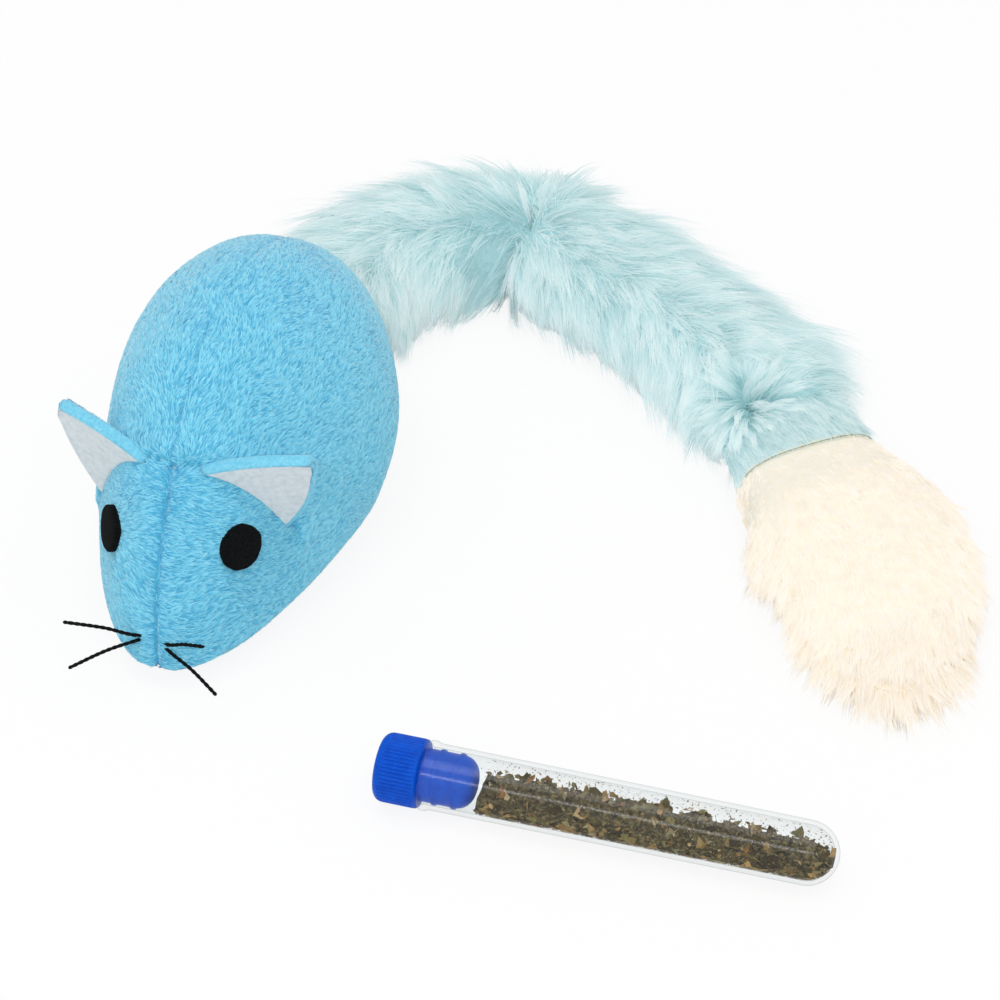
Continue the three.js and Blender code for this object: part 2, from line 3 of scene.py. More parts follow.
import bmesh
import bpy
import numpy as np
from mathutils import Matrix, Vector

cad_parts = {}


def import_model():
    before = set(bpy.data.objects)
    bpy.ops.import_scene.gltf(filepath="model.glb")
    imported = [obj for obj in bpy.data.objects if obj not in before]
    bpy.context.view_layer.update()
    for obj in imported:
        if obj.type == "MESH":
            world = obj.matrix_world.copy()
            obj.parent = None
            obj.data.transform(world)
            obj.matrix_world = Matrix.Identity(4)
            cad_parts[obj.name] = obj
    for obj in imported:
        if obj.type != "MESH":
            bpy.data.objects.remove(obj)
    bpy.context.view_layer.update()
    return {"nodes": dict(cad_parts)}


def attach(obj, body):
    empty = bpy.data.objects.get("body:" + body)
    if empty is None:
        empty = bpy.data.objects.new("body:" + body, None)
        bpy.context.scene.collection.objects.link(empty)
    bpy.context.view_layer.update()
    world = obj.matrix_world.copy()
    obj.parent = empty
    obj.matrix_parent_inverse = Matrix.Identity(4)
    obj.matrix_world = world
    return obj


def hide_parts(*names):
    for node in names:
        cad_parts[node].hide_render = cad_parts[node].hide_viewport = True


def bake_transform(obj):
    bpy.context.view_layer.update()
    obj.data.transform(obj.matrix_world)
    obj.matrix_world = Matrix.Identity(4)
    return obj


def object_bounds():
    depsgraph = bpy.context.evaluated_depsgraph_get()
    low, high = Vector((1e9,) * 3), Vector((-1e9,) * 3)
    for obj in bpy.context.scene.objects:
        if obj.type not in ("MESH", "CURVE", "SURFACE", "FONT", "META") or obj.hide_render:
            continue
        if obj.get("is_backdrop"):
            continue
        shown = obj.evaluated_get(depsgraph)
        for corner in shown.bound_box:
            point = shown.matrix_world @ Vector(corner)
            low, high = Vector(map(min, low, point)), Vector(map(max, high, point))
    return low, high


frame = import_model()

# Shapes are worked out in millimetres, in the frame of the CAD, and become metres as meshes are made.
MM = 0.001
UP = np.array([0.0, 0.0, 1.0])
rng = np.random.default_rng(11)


# Numbers

def unit(v):
    return v / np.maximum(np.linalg.norm(v, axis=-1, keepdims=True), 1e-9)


def ease(x, low, high):
    t = np.clip((x - low) / (high - low), 0, 1)
    return t * t * (3 - 2 * t)


def lerp(a, b, t):
    return a + (b - a) * t


def bell(x, width):
    return np.exp(-((x / width) ** 2))


def onto_plane(v, normal):
    """The part of v that lies across a unit normal."""
    return v - normal * np.sum(v * normal, axis=-1, keepdims=True)


def turned(v, axis, angle):
    """v turned about a unit axis."""
    c, s = np.cos(angle), np.sin(angle)
    along = np.sum(v * axis, axis=-1, keepdims=True)
    return v * c + np.cross(axis, v) * s + axis * along * (1 - c)


def field(points, size, seed):
    """A smooth random value from about -1 to 1, with features of the given size."""
    waves = np.random.default_rng(seed)
    directions = unit(waves.normal(size=(7, 3)))
    lengths = size * waves.uniform(0.7, 1.8, 7)
    phases = waves.uniform(0, 2 * math.pi, 7)
    angles = points @ directions.T * (2 * math.pi / lengths) + phases
    return np.sin(angles).sum(axis=-1) / 2.6


def linear(r, g, b):
    """A colour from its 0 to 255 values as seen on a screen."""
    share = np.array([r, g, b]) / 255
    value = np.where(share <= 0.04045, share / 12.92, ((share + 0.055) / 1.055) ** 2.4)
    return (*value.tolist(), 1.0)


# Meshes

def mesh_piece(name, vertices, corners, sizes, material, uv=None, normals=None, smooth=True):
    """A mesh from millimetre points, a flat list of face corners and the corner count of each face."""
    mesh = bpy.data.meshes.new(name)
    starts = np.concatenate([[0], np.cumsum(sizes)[:-1]])
    mesh.vertices.add(len(vertices))
    mesh.vertices.foreach_set("co", (np.asarray(vertices) * MM).astype(np.float32).ravel())
    mesh.loops.add(len(corners))
    mesh.loops.foreach_set("vertex_index", np.asarray(corners, np.int32))
    mesh.polygons.add(len(sizes))
    mesh.polygons.foreach_set("loop_start", starts.astype(np.int32))
    mesh.polygons.foreach_set("use_smooth", np.full(len(sizes), smooth))
    mesh.update(calc_edges=True)
    if uv is not None:
        layer = mesh.uv_layers.new(name="OFBake")
        layer.data.foreach_set("uv", uv[corners].astype(np.float32).ravel())
    if normals is not None:
        mesh.normals_split_custom_set_from_vertices(normals.astype(np.float32))
    mesh.materials.append(material)
    piece = bpy.data.objects.new(name, mesh)
    bpy.context.scene.collection.objects.link(piece)
    return piece


def grid_corners(rows, columns, flip=False):
    i, j = np.meshgrid(np.arange(rows - 1), np.arange(columns - 1), indexing="ij")
    a = (i * columns + j).ravel()
    quads = np.stack([a, a + columns, a + columns + 1, a + 1], axis=1)
    return quads[:, ::-1] if flip else quads


def grid_piece(name, grid, material, flip=False):
    """A sheet over a grid of points."""
    rows, columns = grid.shape[:2]
    quads = grid_corners(rows, columns, flip)
    return mesh_piece(name, grid.reshape(-1, 3), quads.ravel(), np.full(len(quads), 4), material)


def grid_normals(grid):
    across = np.gradient(grid, axis=0)
    along = np.gradient(grid, axis=1)
    return unit(np.cross(across, along))


def scatter(parts, count, weight=None):
    """Random places on a grid, even by area. The parts are its points and what else goes with them."""
    grid = np.concatenate(parts, axis=-1)
    a, b, c, d = grid[:-1, :-1], grid[1:, :-1], grid[:-1, 1:], grid[1:, 1:]
    area = np.linalg.norm(np.cross((b - a)[..., :3], (c - a)[..., :3]), axis=-1)
    if weight is not None:
        area = area * weight[:-1, :-1]
    cells = rng.choice(area.size, count, p=area.ravel() / area.sum())
    u, v = rng.random((2, count, 1))
    a, b, c, d = (g.reshape(-1, grid.shape[-1])[cells] for g in (a, b, c, d))
    places = a * (1 - u) * (1 - v) + b * u * (1 - v) + c * (1 - u) * v + d * u * v
    return np.split(places, np.cumsum([part.shape[-1] for part in parts])[:-1], axis=-1)


def off_floor(paths, gap):
    paths[..., 2] = np.maximum(paths[..., 2], gap)
    return paths


def ribbons(name, paths, normals, width, tint, material, roll=0.3, skyward=2.5, sky=UP):
    """Tapering strands along paths of shape (strands, levels, 3), most of them facing the sky a little."""
    strands, levels, _ = paths.shape
    normals = unit(normals + sky * skyward * ease(normals[:, 2:3], -0.95, -0.5))
    run = unit(np.gradient(paths, axis=1))
    face = unit(onto_plane(normals[:, None], run))
    tilt = rng.normal(0, roll, (strands, 1, 1))
    side = unit(np.cross(run, face) * np.cos(tilt) + face * np.sin(tilt))
    t = np.linspace(0, 1, levels)
    half = width[:, None, None] * (1 - 0.75 * t**1.5)[None, :, None] / 2
    left, right = ((paths + sign * side * half)[:, :-1] for sign in (-1, 1))
    vertices = np.concatenate([left, right, paths[:, -1:]], axis=1)
    per = 2 * (levels - 1) + 1
    shown = unit(face + normals[:, None] + rng.normal(0, 0.2, (strands, 1, 3)))
    shade = np.concatenate([shown[:, :-1], shown[:, :-1], shown[:, -1:]], axis=1)
    lower = np.arange(levels - 2)
    quads = np.stack([lower, lower + levels - 1, lower + levels, lower + 1], axis=1).ravel()
    one = np.concatenate([quads, [levels - 2, 2 * levels - 3, per - 1]])
    corners = (one[None] + np.arange(strands)[:, None] * per).ravel()
    sizes = np.tile(np.concatenate([np.full(levels - 2, 4), [3]]), strands)
    u = np.concatenate([np.full(levels - 1, -0.01), np.full(levels - 1, 0.01), [0.0]])
    v = np.concatenate([t[:-1], t[:-1], t[-1:]])
    uv = np.stack(np.broadcast_arrays(np.clip(tint, 0.02, 0.98)[:, None] + u[None], v[None]), axis=-1)
    piece = mesh_piece(
        name, vertices.reshape(-1, 3), corners, sizes, material, uv.reshape(-1, 2), shade.reshape(-1, 3)
    )
    piece.visible_shadow = False  # fine fibre lets the light past
    return piece


# Materials

def node(tree, kind, inputs=None, **settings):
    made = tree.nodes.new(kind)
    for key, value in settings.items():
        setattr(made, key, value)
    for key, value in (inputs or {}).items():
        if isinstance(value, bpy.types.NodeSocket):
            tree.links.new(value, made.inputs[key])
        else:
            made.inputs[key].default_value = value
    return made


def ramp(tree, factor, stops):
    made = node(tree, "ShaderNodeValToRGB", {"Fac": factor})
    elements = made.color_ramp.elements
    while len(elements) < len(stops):
        elements.new(0.5)
    for element, (position, colour) in zip(elements, stops):
        element.position = position
        element.color = colour
    return made.outputs["Color"]


def new_material(name, roughness, specular=0.3, sheen=0.0):
    made = bpy.data.materials.new(name)
    made.use_nodes = True
    tree = made.node_tree
    shader = tree.nodes["Principled BSDF"]
    shader.inputs["Roughness"].default_value = roughness
    shader.inputs["Specular IOR Level"].default_value = specular
    shader.inputs["Sheen Weight"].default_value = sheen
    return made, tree, shader


def bare_material(name):
    """A material without a shader, its nodes, and the input that a shader goes to."""
    made = bpy.data.materials.new(name)
    made.use_nodes = True
    tree = made.node_tree
    tree.nodes.remove(tree.nodes["Principled BSDF"])
    return made, tree, tree.nodes["Material Output"].inputs["Surface"]


def object_noise(tree, size, stretch=(1, 1, 1), detail=3.0):
    """Noise with features of about size millimetres."""
    place = node(tree, "ShaderNodeTexCoord").outputs["Object"]
    scaled = node(tree, "ShaderNodeMapping", {"Vector": place, "Scale": stretch}).outputs["Vector"]
    settings = {"Vector": scaled, "Scale": 1 / (size * MM), "Detail": detail, "Roughness": 0.6}
    return node(tree, "ShaderNodeTexNoise", settings).outputs["Fac"]


def bumped(tree, shader, height, depth, strength=1.0):
    bump = node(tree, "ShaderNodeBump", {"Height": height, "Distance": depth * MM, "Strength": strength})
    tree.links.new(bump.outputs["Normal"], shader.inputs["Normal"])


def strand_material(name, along, tints, roughness=0.75, sheen=0.25):
    """Fibre that changes colour along its length, with a tint of its own for each strand."""
    made, tree, shader = new_material(name, roughness, 0.2, sheen)
    uv = node(tree, "ShaderNodeUVMap", uv_map="OFBake").outputs["UV"]
    parts = node(tree, "ShaderNodeSeparateXYZ", {"Vector": uv})
    length = ramp(tree, parts.outputs["Y"], along)
    tint = ramp(tree, parts.outputs["X"], tints)
    mixed = node(tree, "ShaderNodeMix", {0: 1.0, 6: length, 7: tint}, data_type="RGBA", blend_type="MULTIPLY")
    tree.links.new(mixed.outputs[2], shader.inputs["Base Color"])
    return made


def mottled_material(name, stops, size, roughness, depth=0.1, stretch=(1, 1, 1), sheen=0.0, specular=0.3):
    """A surface whose colour and height follow one noise."""
    made, tree, shader = new_material(name, roughness, specular, sheen)
    value = object_noise(tree, size, stretch)
    tree.links.new(ramp(tree, value, stops), shader.inputs["Base Color"])
    bumped(tree, shader, value, depth)
    return made


def two_tone(name, dark, light, size, roughness, depth, stops=(0.3, 0.7), **more):
    """A mottled surface between two screen colours."""
    colours = [(stops[0], linear(*dark)), (stops[1], linear(*light))]
    return mottled_material(name, colours, size, roughness, depth, **more)


def grey(value):
    return value, value, value, 1.0


def tinge(r, g, b):
    return (r, g, b, 1.0)


plush_strand = strand_material(
    "plush_pile",
    [(0.0, linear(80, 190, 228)), (0.45, linear(124, 220, 246)), (1.0, linear(184, 240, 253))],
    [(0.0, tinge(0.4, 0.7, 0.82)), (0.5, tinge(0.82, 0.93, 0.96)), (1.0, grey(1.0))],
    sheen=0.9,
)
plush_cloth = two_tone(
    "plush_cloth", (70, 172, 216), (104, 198, 232), 0.6, 0.9, 0.25, stretch=(1, 0.3, 1), sheen=0.3
)
ear_plush = two_tone("ear_plush", (104, 198, 232), (142, 221, 245), 0.6, 0.9, 0.2, sheen=0.3)
# The aqua fur darkens towards the root as painted shade in the gaps between the tufts, which cast no shadows.
aqua_strand = strand_material(
    "aqua_fur",
    [(0.0, linear(166, 212, 216)), (0.4, linear(214, 238, 240)), (1.0, linear(248, 253, 253))],
    [(0.0, tinge(0.62, 0.78, 0.8)), (0.5, tinge(0.96, 0.98, 0.98)), (1.0, grey(1.0))],
)
aqua_cloth = two_tone("aqua_backing", (166, 212, 216), (190, 226, 229), 1.2, 0.95, 0.3)
cream_strand = strand_material(
    "cream_fur",
    [(0.0, linear(252, 242, 224)), (0.35, linear(255, 249, 238)), (1.0, linear(255, 252, 248))],
    [(0.0, tinge(0.95, 0.92, 0.87)), (0.5, tinge(1.0, 0.985, 0.965)), (1.0, grey(1.0))],
)
cream_cloth = two_tone("cream_backing", (253, 243, 224), (255, 248, 236), 1.2, 0.95, 0.3)
# The grey in this white felt is partly its own mottle and partly painted shade on the ears.
white_felt = mottled_material(
    "white_felt", [(0.3, linear(206, 218, 223)), (0.55, linear(222, 231, 235)), (1.0, linear(236, 241, 243))],
    1.2, 0.95, 0.1, sheen=0.1,
)
black_felt = two_tone("black_felt", (3, 5, 5), (20, 23, 24), 0.5, 0.95, 0.2, stops=(0.3, 0.75), specular=0.1)
black_thread = two_tone(
    "black_thread", (3, 4, 5), (20, 22, 24), 0.35, 0.8, 0.05, stops=(0.3, 0.75), specular=0.1
)
blue_thread = two_tone("blue_thread", (64, 150, 190), (110, 190, 222), 0.3, 0.7, 0.05, stops=(0.3, 0.75))
# Olive grey for the thin line at the tip's seam, a painted shadow under the band's edge.
olive_seam_shadow = two_tone("olive_seam_shadow", (140, 142, 108), (186, 186, 156), 0.4, 0.8, 0.05, stops=(0.3, 0.75))
lining_cloth = two_tone("lining_cloth", (132, 200, 224), (170, 222, 238), 0.5, 0.9, 0.1)
fibre_wadding = two_tone("fibre_wadding", (222, 224, 222), (252, 252, 250), 2.0, 1.0, 0.8)
tape_weave = two_tone("tape_weave", (206, 210, 212), (250, 251, 251), 0.35, 0.85, 0.2, stops=(0.35, 0.65))


# Body: the outline of the CAD

SIDES = ("left", 1), ("right", -1)
BODY_LENGTH, HALF_WIDTH, BODY_HEIGHT = 92.0, 27.0, 57.0
NOSE_Y, RUMP_Y = -BODY_LENGTH / 2, BODY_LENGTH / 2
WIDEST_Y, CROWN_Y = NOSE_Y + 53, NOSE_Y + 33
NOSE_WAIST, RUMP_WAIST = 5.1, 23.0
BELLY_FULLNESS = 1.4
BELLY_TOP = 3.3  # height of the seam round the belly panel
NOSE_TAPER, RUMP_ROUNDNESS = 1.25, 2.45
BROW_ROUNDNESS, BACK_ROUNDNESS = 1.45, 1.93
PILE_LENGTH, PILE_COUNT, BELLY_PILE_COUNT = 1.8, 46000, 3000
CROWN_WAIST = lerp(NOSE_WAIST, RUMP_WAIST, (CROWN_Y - NOSE_Y) / BODY_LENGTH)
BACKWARDS = np.array([0.0, 1.0, 0.0])


def fullness(y, peak, before, after):
    ahead = np.clip((peak - y) / (peak - NOSE_Y), 0, 1) ** before
    behind = np.clip((y - peak) / (RUMP_Y - peak), 0, 1) ** after
    return np.sqrt(np.clip(1 - np.where(y < peak, ahead, behind), 0, 1))


def body_section(y):
    """Half width, waist height, and how far the body rises above its waist and drops below it."""
    waist = lerp(NOSE_WAIST, RUMP_WAIST, (y - NOSE_Y) / BODY_LENGTH)
    width = HALF_WIDTH * fullness(y, WIDEST_Y, NOSE_TAPER, RUMP_ROUNDNESS)
    above = (BODY_HEIGHT - CROWN_WAIST) * fullness(y, CROWN_Y, BROW_ROUNDNESS, BACK_ROUNDNESS)
    below = waist * BELLY_FULLNESS * fullness(y, 0.0, 2, 2)
    return width, waist, above, below


def body_point(from_nose, angle, side=1):
    y = NOSE_Y + np.asarray(from_nose, float)
    width, waist, above, below = body_section(y)
    lift = np.sin(angle)
    height = waist + np.where(lift > 0, above, below) * lift
    return np.stack(np.broadcast_arrays(side * width * np.cos(angle), y, height), axis=-1)


def body_normal(from_nose, angle, side=1):
    step = 0.01
    lengthwise = body_point(from_nose + step, angle, side) - body_point(from_nose - step, angle, side)
    around = body_point(from_nose, angle + step / 9, side) - body_point(from_nose, angle - step / 9, side)
    return unit(np.cross(lengthwise, around) * side)


def body_depth(points):
    """Under 1 inside the body and over 1 outside it."""
    x, y, z = np.moveaxis(points, -1, 0)
    width, waist, above, below = body_section(np.clip(y, NOSE_Y, RUMP_Y))
    reach = np.where(z > waist, above, below)
    value = np.hypot(x / np.maximum(width, 1e-6), (z - waist) / np.maximum(reach, 1e-6))
    return np.where((y <= NOSE_Y) | (y >= RUMP_Y), 9.0, value)


def onto_body(points, direction):
    """The points slid along direction to the body's surface."""
    low, high = np.full(points.shape[:-1], -6.0), np.full(points.shape[:-1], 6.0)
    for _ in range(30):
        middle = (low + high) / 2
        outside = body_depth(points + direction * middle[..., None]) > 1
        high, low = np.where(outside, middle, high), np.where(outside, low, middle)
    return points + direction * low[..., None]


EAR_INNER = 15.9, math.radians(69)
EAR_OUTER = 24.6, math.radians(19.8)
DART = [(14.2, math.radians(90)), EAR_INNER, EAR_OUTER, (25.2, math.radians(17.6))]


def dart_line(side):
    """The sewn line through an ear, from the seam on the forehead to its end on the cheek."""
    runs = np.linspace(0, len(DART) - 1, 120)
    from_nose = np.interp(runs, range(len(DART)), [p[0] for p in DART])
    angle = np.interp(runs, range(len(DART)), [p[1] for p in DART])
    return body_point(from_nose, angle, side)


def sewn(grid, normals, side):
    """The panel drawn in along its seams and its dart, and a little uneven between them."""
    seam = np.abs(grid[..., 0])
    forehead = 1 - ease(grid[..., 1], -34, -8)
    groove = lerp(0.3, 0.7, forehead) * bell(seam, 0.55)
    groove += lerp(0.2, 0.4, forehead) * bell(seam, 2.4)
    line = dart_line(side)
    away = np.linalg.norm(grid[:, :, None] - line[None, None], axis=-1)
    nearest = away.argmin(axis=-1)
    gap = away.min(axis=-1)
    behind = grid[..., 1] > line[nearest, 1]
    groove += 1.2 * bell(gap, 0.8)
    swell = np.where(behind, 0.7, 0.0) * bell(gap - 3.0, 2.4)
    foot = 0.5 * bell(grid[..., 2] - BELLY_TOP, 0.9)
    return grid + normals * (0.16 * field(grid, 16, 3) + swell - groove - foot)[..., None]


def band(low_height, high_angle, side, rows, columns):
    """A grid over one side of the body, from a height up to an angle or another height."""
    from_nose = BODY_LENGTH * (1 - np.cos(np.linspace(0, math.pi, rows))) / 2
    _, waist, _, below = body_section(NOSE_Y + from_nose)

    def angle_at(height):
        return np.arcsin(np.clip((height - waist) / np.maximum(below, 1e-6), -1, 0))

    low = angle_at(low_height)[:, None]
    high = high_angle if high_angle is not None else angle_at(BELLY_TOP)[:, None]
    grid = body_point(from_nose[:, None], low + (high - low) * np.linspace(0, 1, columns), side)
    normals = grid_normals(grid) * side
    normals[0], normals[-1] = -BACKWARDS, BACKWARDS
    return grid, normals


EYE_PLACE = {1: (13.7, math.radians(33.5)), -1: (12.4, math.radians(35.3))}
EYE_RADIUS = 4.4


def pile_paths(middle, normal, flow, length, rise):
    root = middle - flow * length * 0.35
    half = root + flow * length * 0.5 + normal * rise * 0.85
    return np.stack([root - normal * 0.15, half, root + flow * length + normal * rise], axis=1)


def body_pile(name, grid, normals, count, side):
    """Short nap that lies along the back, and out to the side on the face before the dart."""
    root, normal = scatter([grid, normals], count)
    eye_centre = body_point(*EYE_PLACE[side], side)
    keep = np.linalg.norm(root - eye_centre, axis=-1) > EYE_RADIUS - 0.5
    root, normal = root[keep], unit(normal[keep])
    line = dart_line(side)
    from_seam = np.abs(root[:, 0:1])
    face = ease(np.interp(root[:, 2], line[::-1, 2], line[::-1, 1]) - root[:, 1], -0.3, 0.9)[:, None]
    way = lerp(BACKWARDS, np.array([0.9 * side, 0.35, 0.0]), face * ease(from_seam, 0.05, 0.35))
    flow = unit(onto_plane(way, normal))
    swirl = 0.35 * field(root, 11, 5) + rng.normal(0, 0.2, len(root))
    flow = turned(flow, normal, swirl[:, None])
    from_dart = np.sqrt(np.min(
        np.sum(root**2, axis=1)[:, None] + np.sum(line**2, axis=1)[None] - 2 * root @ line.T, axis=1
    ).clip(0))
    # Painted shade in the sewn grooves: the nap's tint darkens along the seam and the dart.
    on_seam = bell(from_seam, lerp(0.42, 0.3, face)) * lerp(1.6, 1, face)
    groove_shade = bell(from_dart, 0.7) + on_seam[:, 0]
    length = PILE_LENGTH * rng.uniform(0.65, 1.25, (len(root), 1))
    rise = rng.uniform(0.08, 0.22, (len(root), 1))
    streaks = lerp(field(root * (1, 0.28, 1), 0.9, 8), field(root * (0.28, 1, 1), 0.9, 9), face[:, 0])
    # Painted shade: the tint is also lowered over the face, which turns away from the light.
    tint = 0.56 + 0.18 * streaks + rng.normal(0, 0.3, len(root)) - 0.3 * groove_shade - 0.12 * face[:, 0]
    width = rng.uniform(0.24, 0.44, len(root))
    paths = off_floor(pile_paths(root, normal, flow, length, rise), 0.1)
    return ribbons(name, paths, normal, width, tint, plush_strand, 0.4, 0.6)


def rides(piece, body, slot, *nodes):
    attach(piece, body)
    if nodes:
        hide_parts(*nodes)
    return piece


for word, side in SIDES:
    grid, normals = band(BELLY_TOP, math.pi / 2, side, 141, 91)
    grid = sewn(grid, normals, side)
    normals = grid_normals(grid) * side
    normals[0], normals[-1] = -BACKWARDS, BACKWARDS
    panel = grid_piece(f"plush_panel_{word}", grid, plush_cloth, flip=side < 0)
    rides(panel, "mouse_body", "plush_blue", f"side_panel_{word}")
    rides(body_pile(f"plush_pile_{word}", grid, normals, PILE_COUNT, side), "mouse_body", "plush_blue")
    grid, normals = band(0.2, None, side, 141, 6)
    rides(body_pile(f"belly_pile_{word}", grid, normals, BELLY_PILE_COUNT, side), "mouse_body", "plush_blue")


# Stitches that show along the seam of the forehead

def seam_stitches():
    along = np.arange(6.0, 30.0, 1.6)
    along = along + rng.normal(0, 0.15, len(along))
    paths = []
    for from_nose in along:
        across = np.linspace(-1, 1, 5)
        x, y = across * rng.uniform(0.4, 0.7), NOSE_Y + from_nose + across * 0.4
        width, waist, above, _ = body_section(y)
        z = waist + above * np.sqrt(np.clip(1 - (x / width) ** 2, 0, 1)) - 0.45
        paths.append(np.stack([x, y, z], axis=-1))
    count = len(paths)
    up = np.tile(unit(np.array([0.0, -0.7, 0.7])), (count, 1))
    width, tint = np.full(count, 0.13), np.full(count, 0.5)
    return ribbons("seam_stitches", np.array(paths), up, width, tint, blue_thread, 0.1)


rides(seam_stitches(), "mouse_body", "plush_blue")


# Pieces that keep the CAD's shape with softer edges

def softened(name, source, voxel, passes, material):
    piece = bpy.data.objects.new(name, frame["nodes"][source].data.copy())
    bpy.context.scene.collection.objects.link(piece)
    remesh = piece.modifiers.new("remesh", "REMESH")
    remesh.mode = "VOXEL"
    remesh.voxel_size = voxel * MM
    relax = piece.modifiers.new("relax", "SMOOTH")
    relax.iterations = passes
    relax.factor = 0.5
    bpy.context.view_layer.update()
    shape = bpy.data.meshes.new_from_object(piece.evaluated_get(bpy.context.evaluated_depsgraph_get()))
    piece.modifiers.clear()
    piece.data = shape
    shape.materials.clear()
    shape.materials.append(material)
    shape.polygons.foreach_set("use_smooth", np.ones(len(shape.polygons), bool))
    return piece


belly = softened("belly_cloth", "belly_panel", 0.45, 3, plush_cloth)
rides(belly, "mouse_body", "plush_blue", "belly_panel")
filling = softened("wadding", "fibre_filling", 1.5, 4, fibre_wadding)
rides(filling, "mouse_body", "fibre_white", "fibre_filling")
pouch = softened("pouch_cloth", "catnip_pouch", 0.4, 5, lining_cloth)
rides(pouch, "mouse_body", "lining_blue", "catnip_pouch")
flap = softened("flap_cloth", "belly_flap", 0.2, 4, plush_cloth)
rides(flap, "flap", "plush_blue", "belly_flap")
for strip in ("flap_hook_strip", "belly_loop_strip"):
    frame["nodes"][strip].data.materials.clear()
    frame["nodes"][strip].data.materials.append(tape_weave)


# Eyes: felt discs on the curve of the face

def eye(name, side):
    centre, normal = body_point(*EYE_PLACE[side], side), body_normal(*EYE_PLACE[side], side)
    across = unit(np.cross(UP, normal))
    upward = np.cross(normal, across)
    turn = np.linspace(0, 2 * math.pi, 65)
    edge = EYE_RADIUS * (1 + 0.012 * np.sin(5 * turn + side) + 0.008 * np.sin(11 * turn))
    reach = np.array([0.001, 0.2, 0.4, 0.6, 0.75, 0.88, 0.96, 1.0, 1.0])
    height = np.array([1.3, 1.3, 1.3, 1.29, 1.28, 1.26, 1.2, 1.0, 0.1])
    spread = (reach[:, None] * edge)[..., None]
    flat = centre + spread * (across * np.cos(turn)[:, None] + upward * np.sin(turn)[:, None])
    grid = lerp(flat, onto_body(flat, normal), 0.75) + normal * height[:, None, None]
    return grid_piece(name, grid, black_felt)


for word, side in SIDES:
    rides(eye(f"eye_disc_{word}", side), "mouse_body", "felt_black", f"eye_{word}")


# Whiskers: twisted threads along the CAD's routes

THREAD, THREAD_TWIST = 0.75, 2.4
POINTS_PER_SPAN = 40
# Points of (x, distance behind the nose, z)
UPPER_ROUTE = [
    (-17.2, -1.6, 13.4), (-9.6, -0.4, 12.8), (-3.2, 0.7, 11.6), (-0.6, 3.6, 11.3), (2, 0.6, 10.9),
    (6.3, -0.9, 13.1), (10.9, -2.4, 15),
]
LOWER_ROUTE = [
    (-15.8, -4.4, 4.6), (-8.9, -1.6, 8.4), (-3.2, 0.7, 10.53), (-0.6, 3.6, 10.23), (2, 0.6, 9.83),
    (8, -2.2, 8.3), (13.8, -5.3, 6.2),
]


def through(route, per_span):
    """A smooth line through the route's points, spaced by the square root of their distances."""
    p = np.array(route, float)
    p = np.concatenate([[2 * p[0] - p[1]], p, [2 * p[-1] - p[-2]]])
    line = []
    for a, b, c, d in zip(p, p[1:], p[2:], p[3:]):
        before, here, after = (np.linalg.norm(q - r) ** 0.5 for q, r in ((b, a), (c, b), (d, c)))
        leave = ((b - a) / before - (c - a) / (before + here) + (c - b) / here) * here
        meet = ((c - b) / here - (d - b) / (here + after) + (d - c) / after) * here
        t = np.linspace(0, 1, per_span, endpoint=False)[:, None]
        bend = (2 * b - 2 * c + leave + meet) * t**3 + (3 * c - 3 * b - 2 * leave - meet) * t**2
        line.append(bend + leave * t + b)
    return np.concatenate([*line, p[-2:-1]])


def frames_along(line):
    """Two directions across a line at each of its points, without needless twist."""
    run = unit(np.gradient(line, axis=0))
    first = unit(np.cross(run[0], UP))
    sides = [first]
    for direction in run[1:]:
        sides.append(unit(sides[-1] - direction * (sides[-1] @ direction)))
    side = np.array(sides)
    return side, np.cross(run, side)


def tube_piece(name, line, turn, radius, material):
    """A skin round a line, with a radius for each of its points and turns."""
    side, up = frames_along(line)
    ring = side[:, None] * np.cos(turn)[None, :, None] + up[:, None] * np.sin(turn)[None, :, None]
    return grid_piece(name, line[:, None] + radius[..., None] * ring, material)


def twisted_thread(name, route):
    line = through([(x, NOSE_Y + behind, z) for x, behind, z in route], POINTS_PER_SPAN)
    run = np.concatenate([[0], np.cumsum(np.linalg.norm(np.diff(line, axis=0), axis=1))])
    turn = np.linspace(0, 2 * math.pi, 13)
    twist = (run * 2 * math.pi / THREAD_TWIST)[:, None]
    radius = THREAD / 2 * (0.66 + 0.34 * np.abs(np.cos(turn[None] - twist)))
    end = np.minimum(run, run[-1] - run)
    radius = radius * np.sqrt(np.clip(end / 0.35, 0.02, 1))[:, None]
    return tube_piece(name, line, turn, radius, black_thread), line, run[-1]


for word, route in (("upper", UPPER_ROUTE), ("lower", LOWER_ROUTE)):
    whisker, line, length = twisted_thread(f"whisker_{word}", route)
    rides(whisker, "mouse_body", "thread_black", f"whisker_thread_{word}")


# Ears: a plush back that shows as a rim round a felt lining

EAR_HEIGHT, EAR_TIP_AT, EAR_TIP_HALF, EAR_TIP_RADIUS, EAR_DRAW = 17.4, 10.7, 3.3, 2.6, 2.8
EDGE_ROUND = 0.8
EAR_LEAN = {1: math.radians(33), -1: math.radians(42)}


def ear_edges(height, base_length):
    """Where the ear's inner and outer edges are, along its base line, at a height above it."""
    shoulder, middle = EAR_HEIGHT - EAR_TIP_RADIUS, EAR_HEIGHT / 2
    low = np.clip(height, -4, shoulder)
    bend = shoulder - 2 * middle
    t = (-2 * middle + np.sqrt(4 * middle**2 + 4 * bend * low)) / (2 * bend)
    inner = 2 * t * (1 - t) * EAR_DRAW + t**2 * (EAR_TIP_AT - EAR_TIP_HALF)
    outer = (1 - t) ** 2 * base_length + 2 * t * (1 - t) * (base_length - EAR_DRAW)
    outer = outer + t**2 * (EAR_TIP_AT + EAR_TIP_HALF)
    over = np.clip((height - shoulder) / (4 * EAR_TIP_RADIUS), 0, 0.25)
    half = EAR_TIP_HALF * np.sqrt(1 - 4 * over)
    round_tip = height > shoulder
    return np.where(round_tip, EAR_TIP_AT - half, inner), np.where(round_tip, EAR_TIP_AT + half, outer)


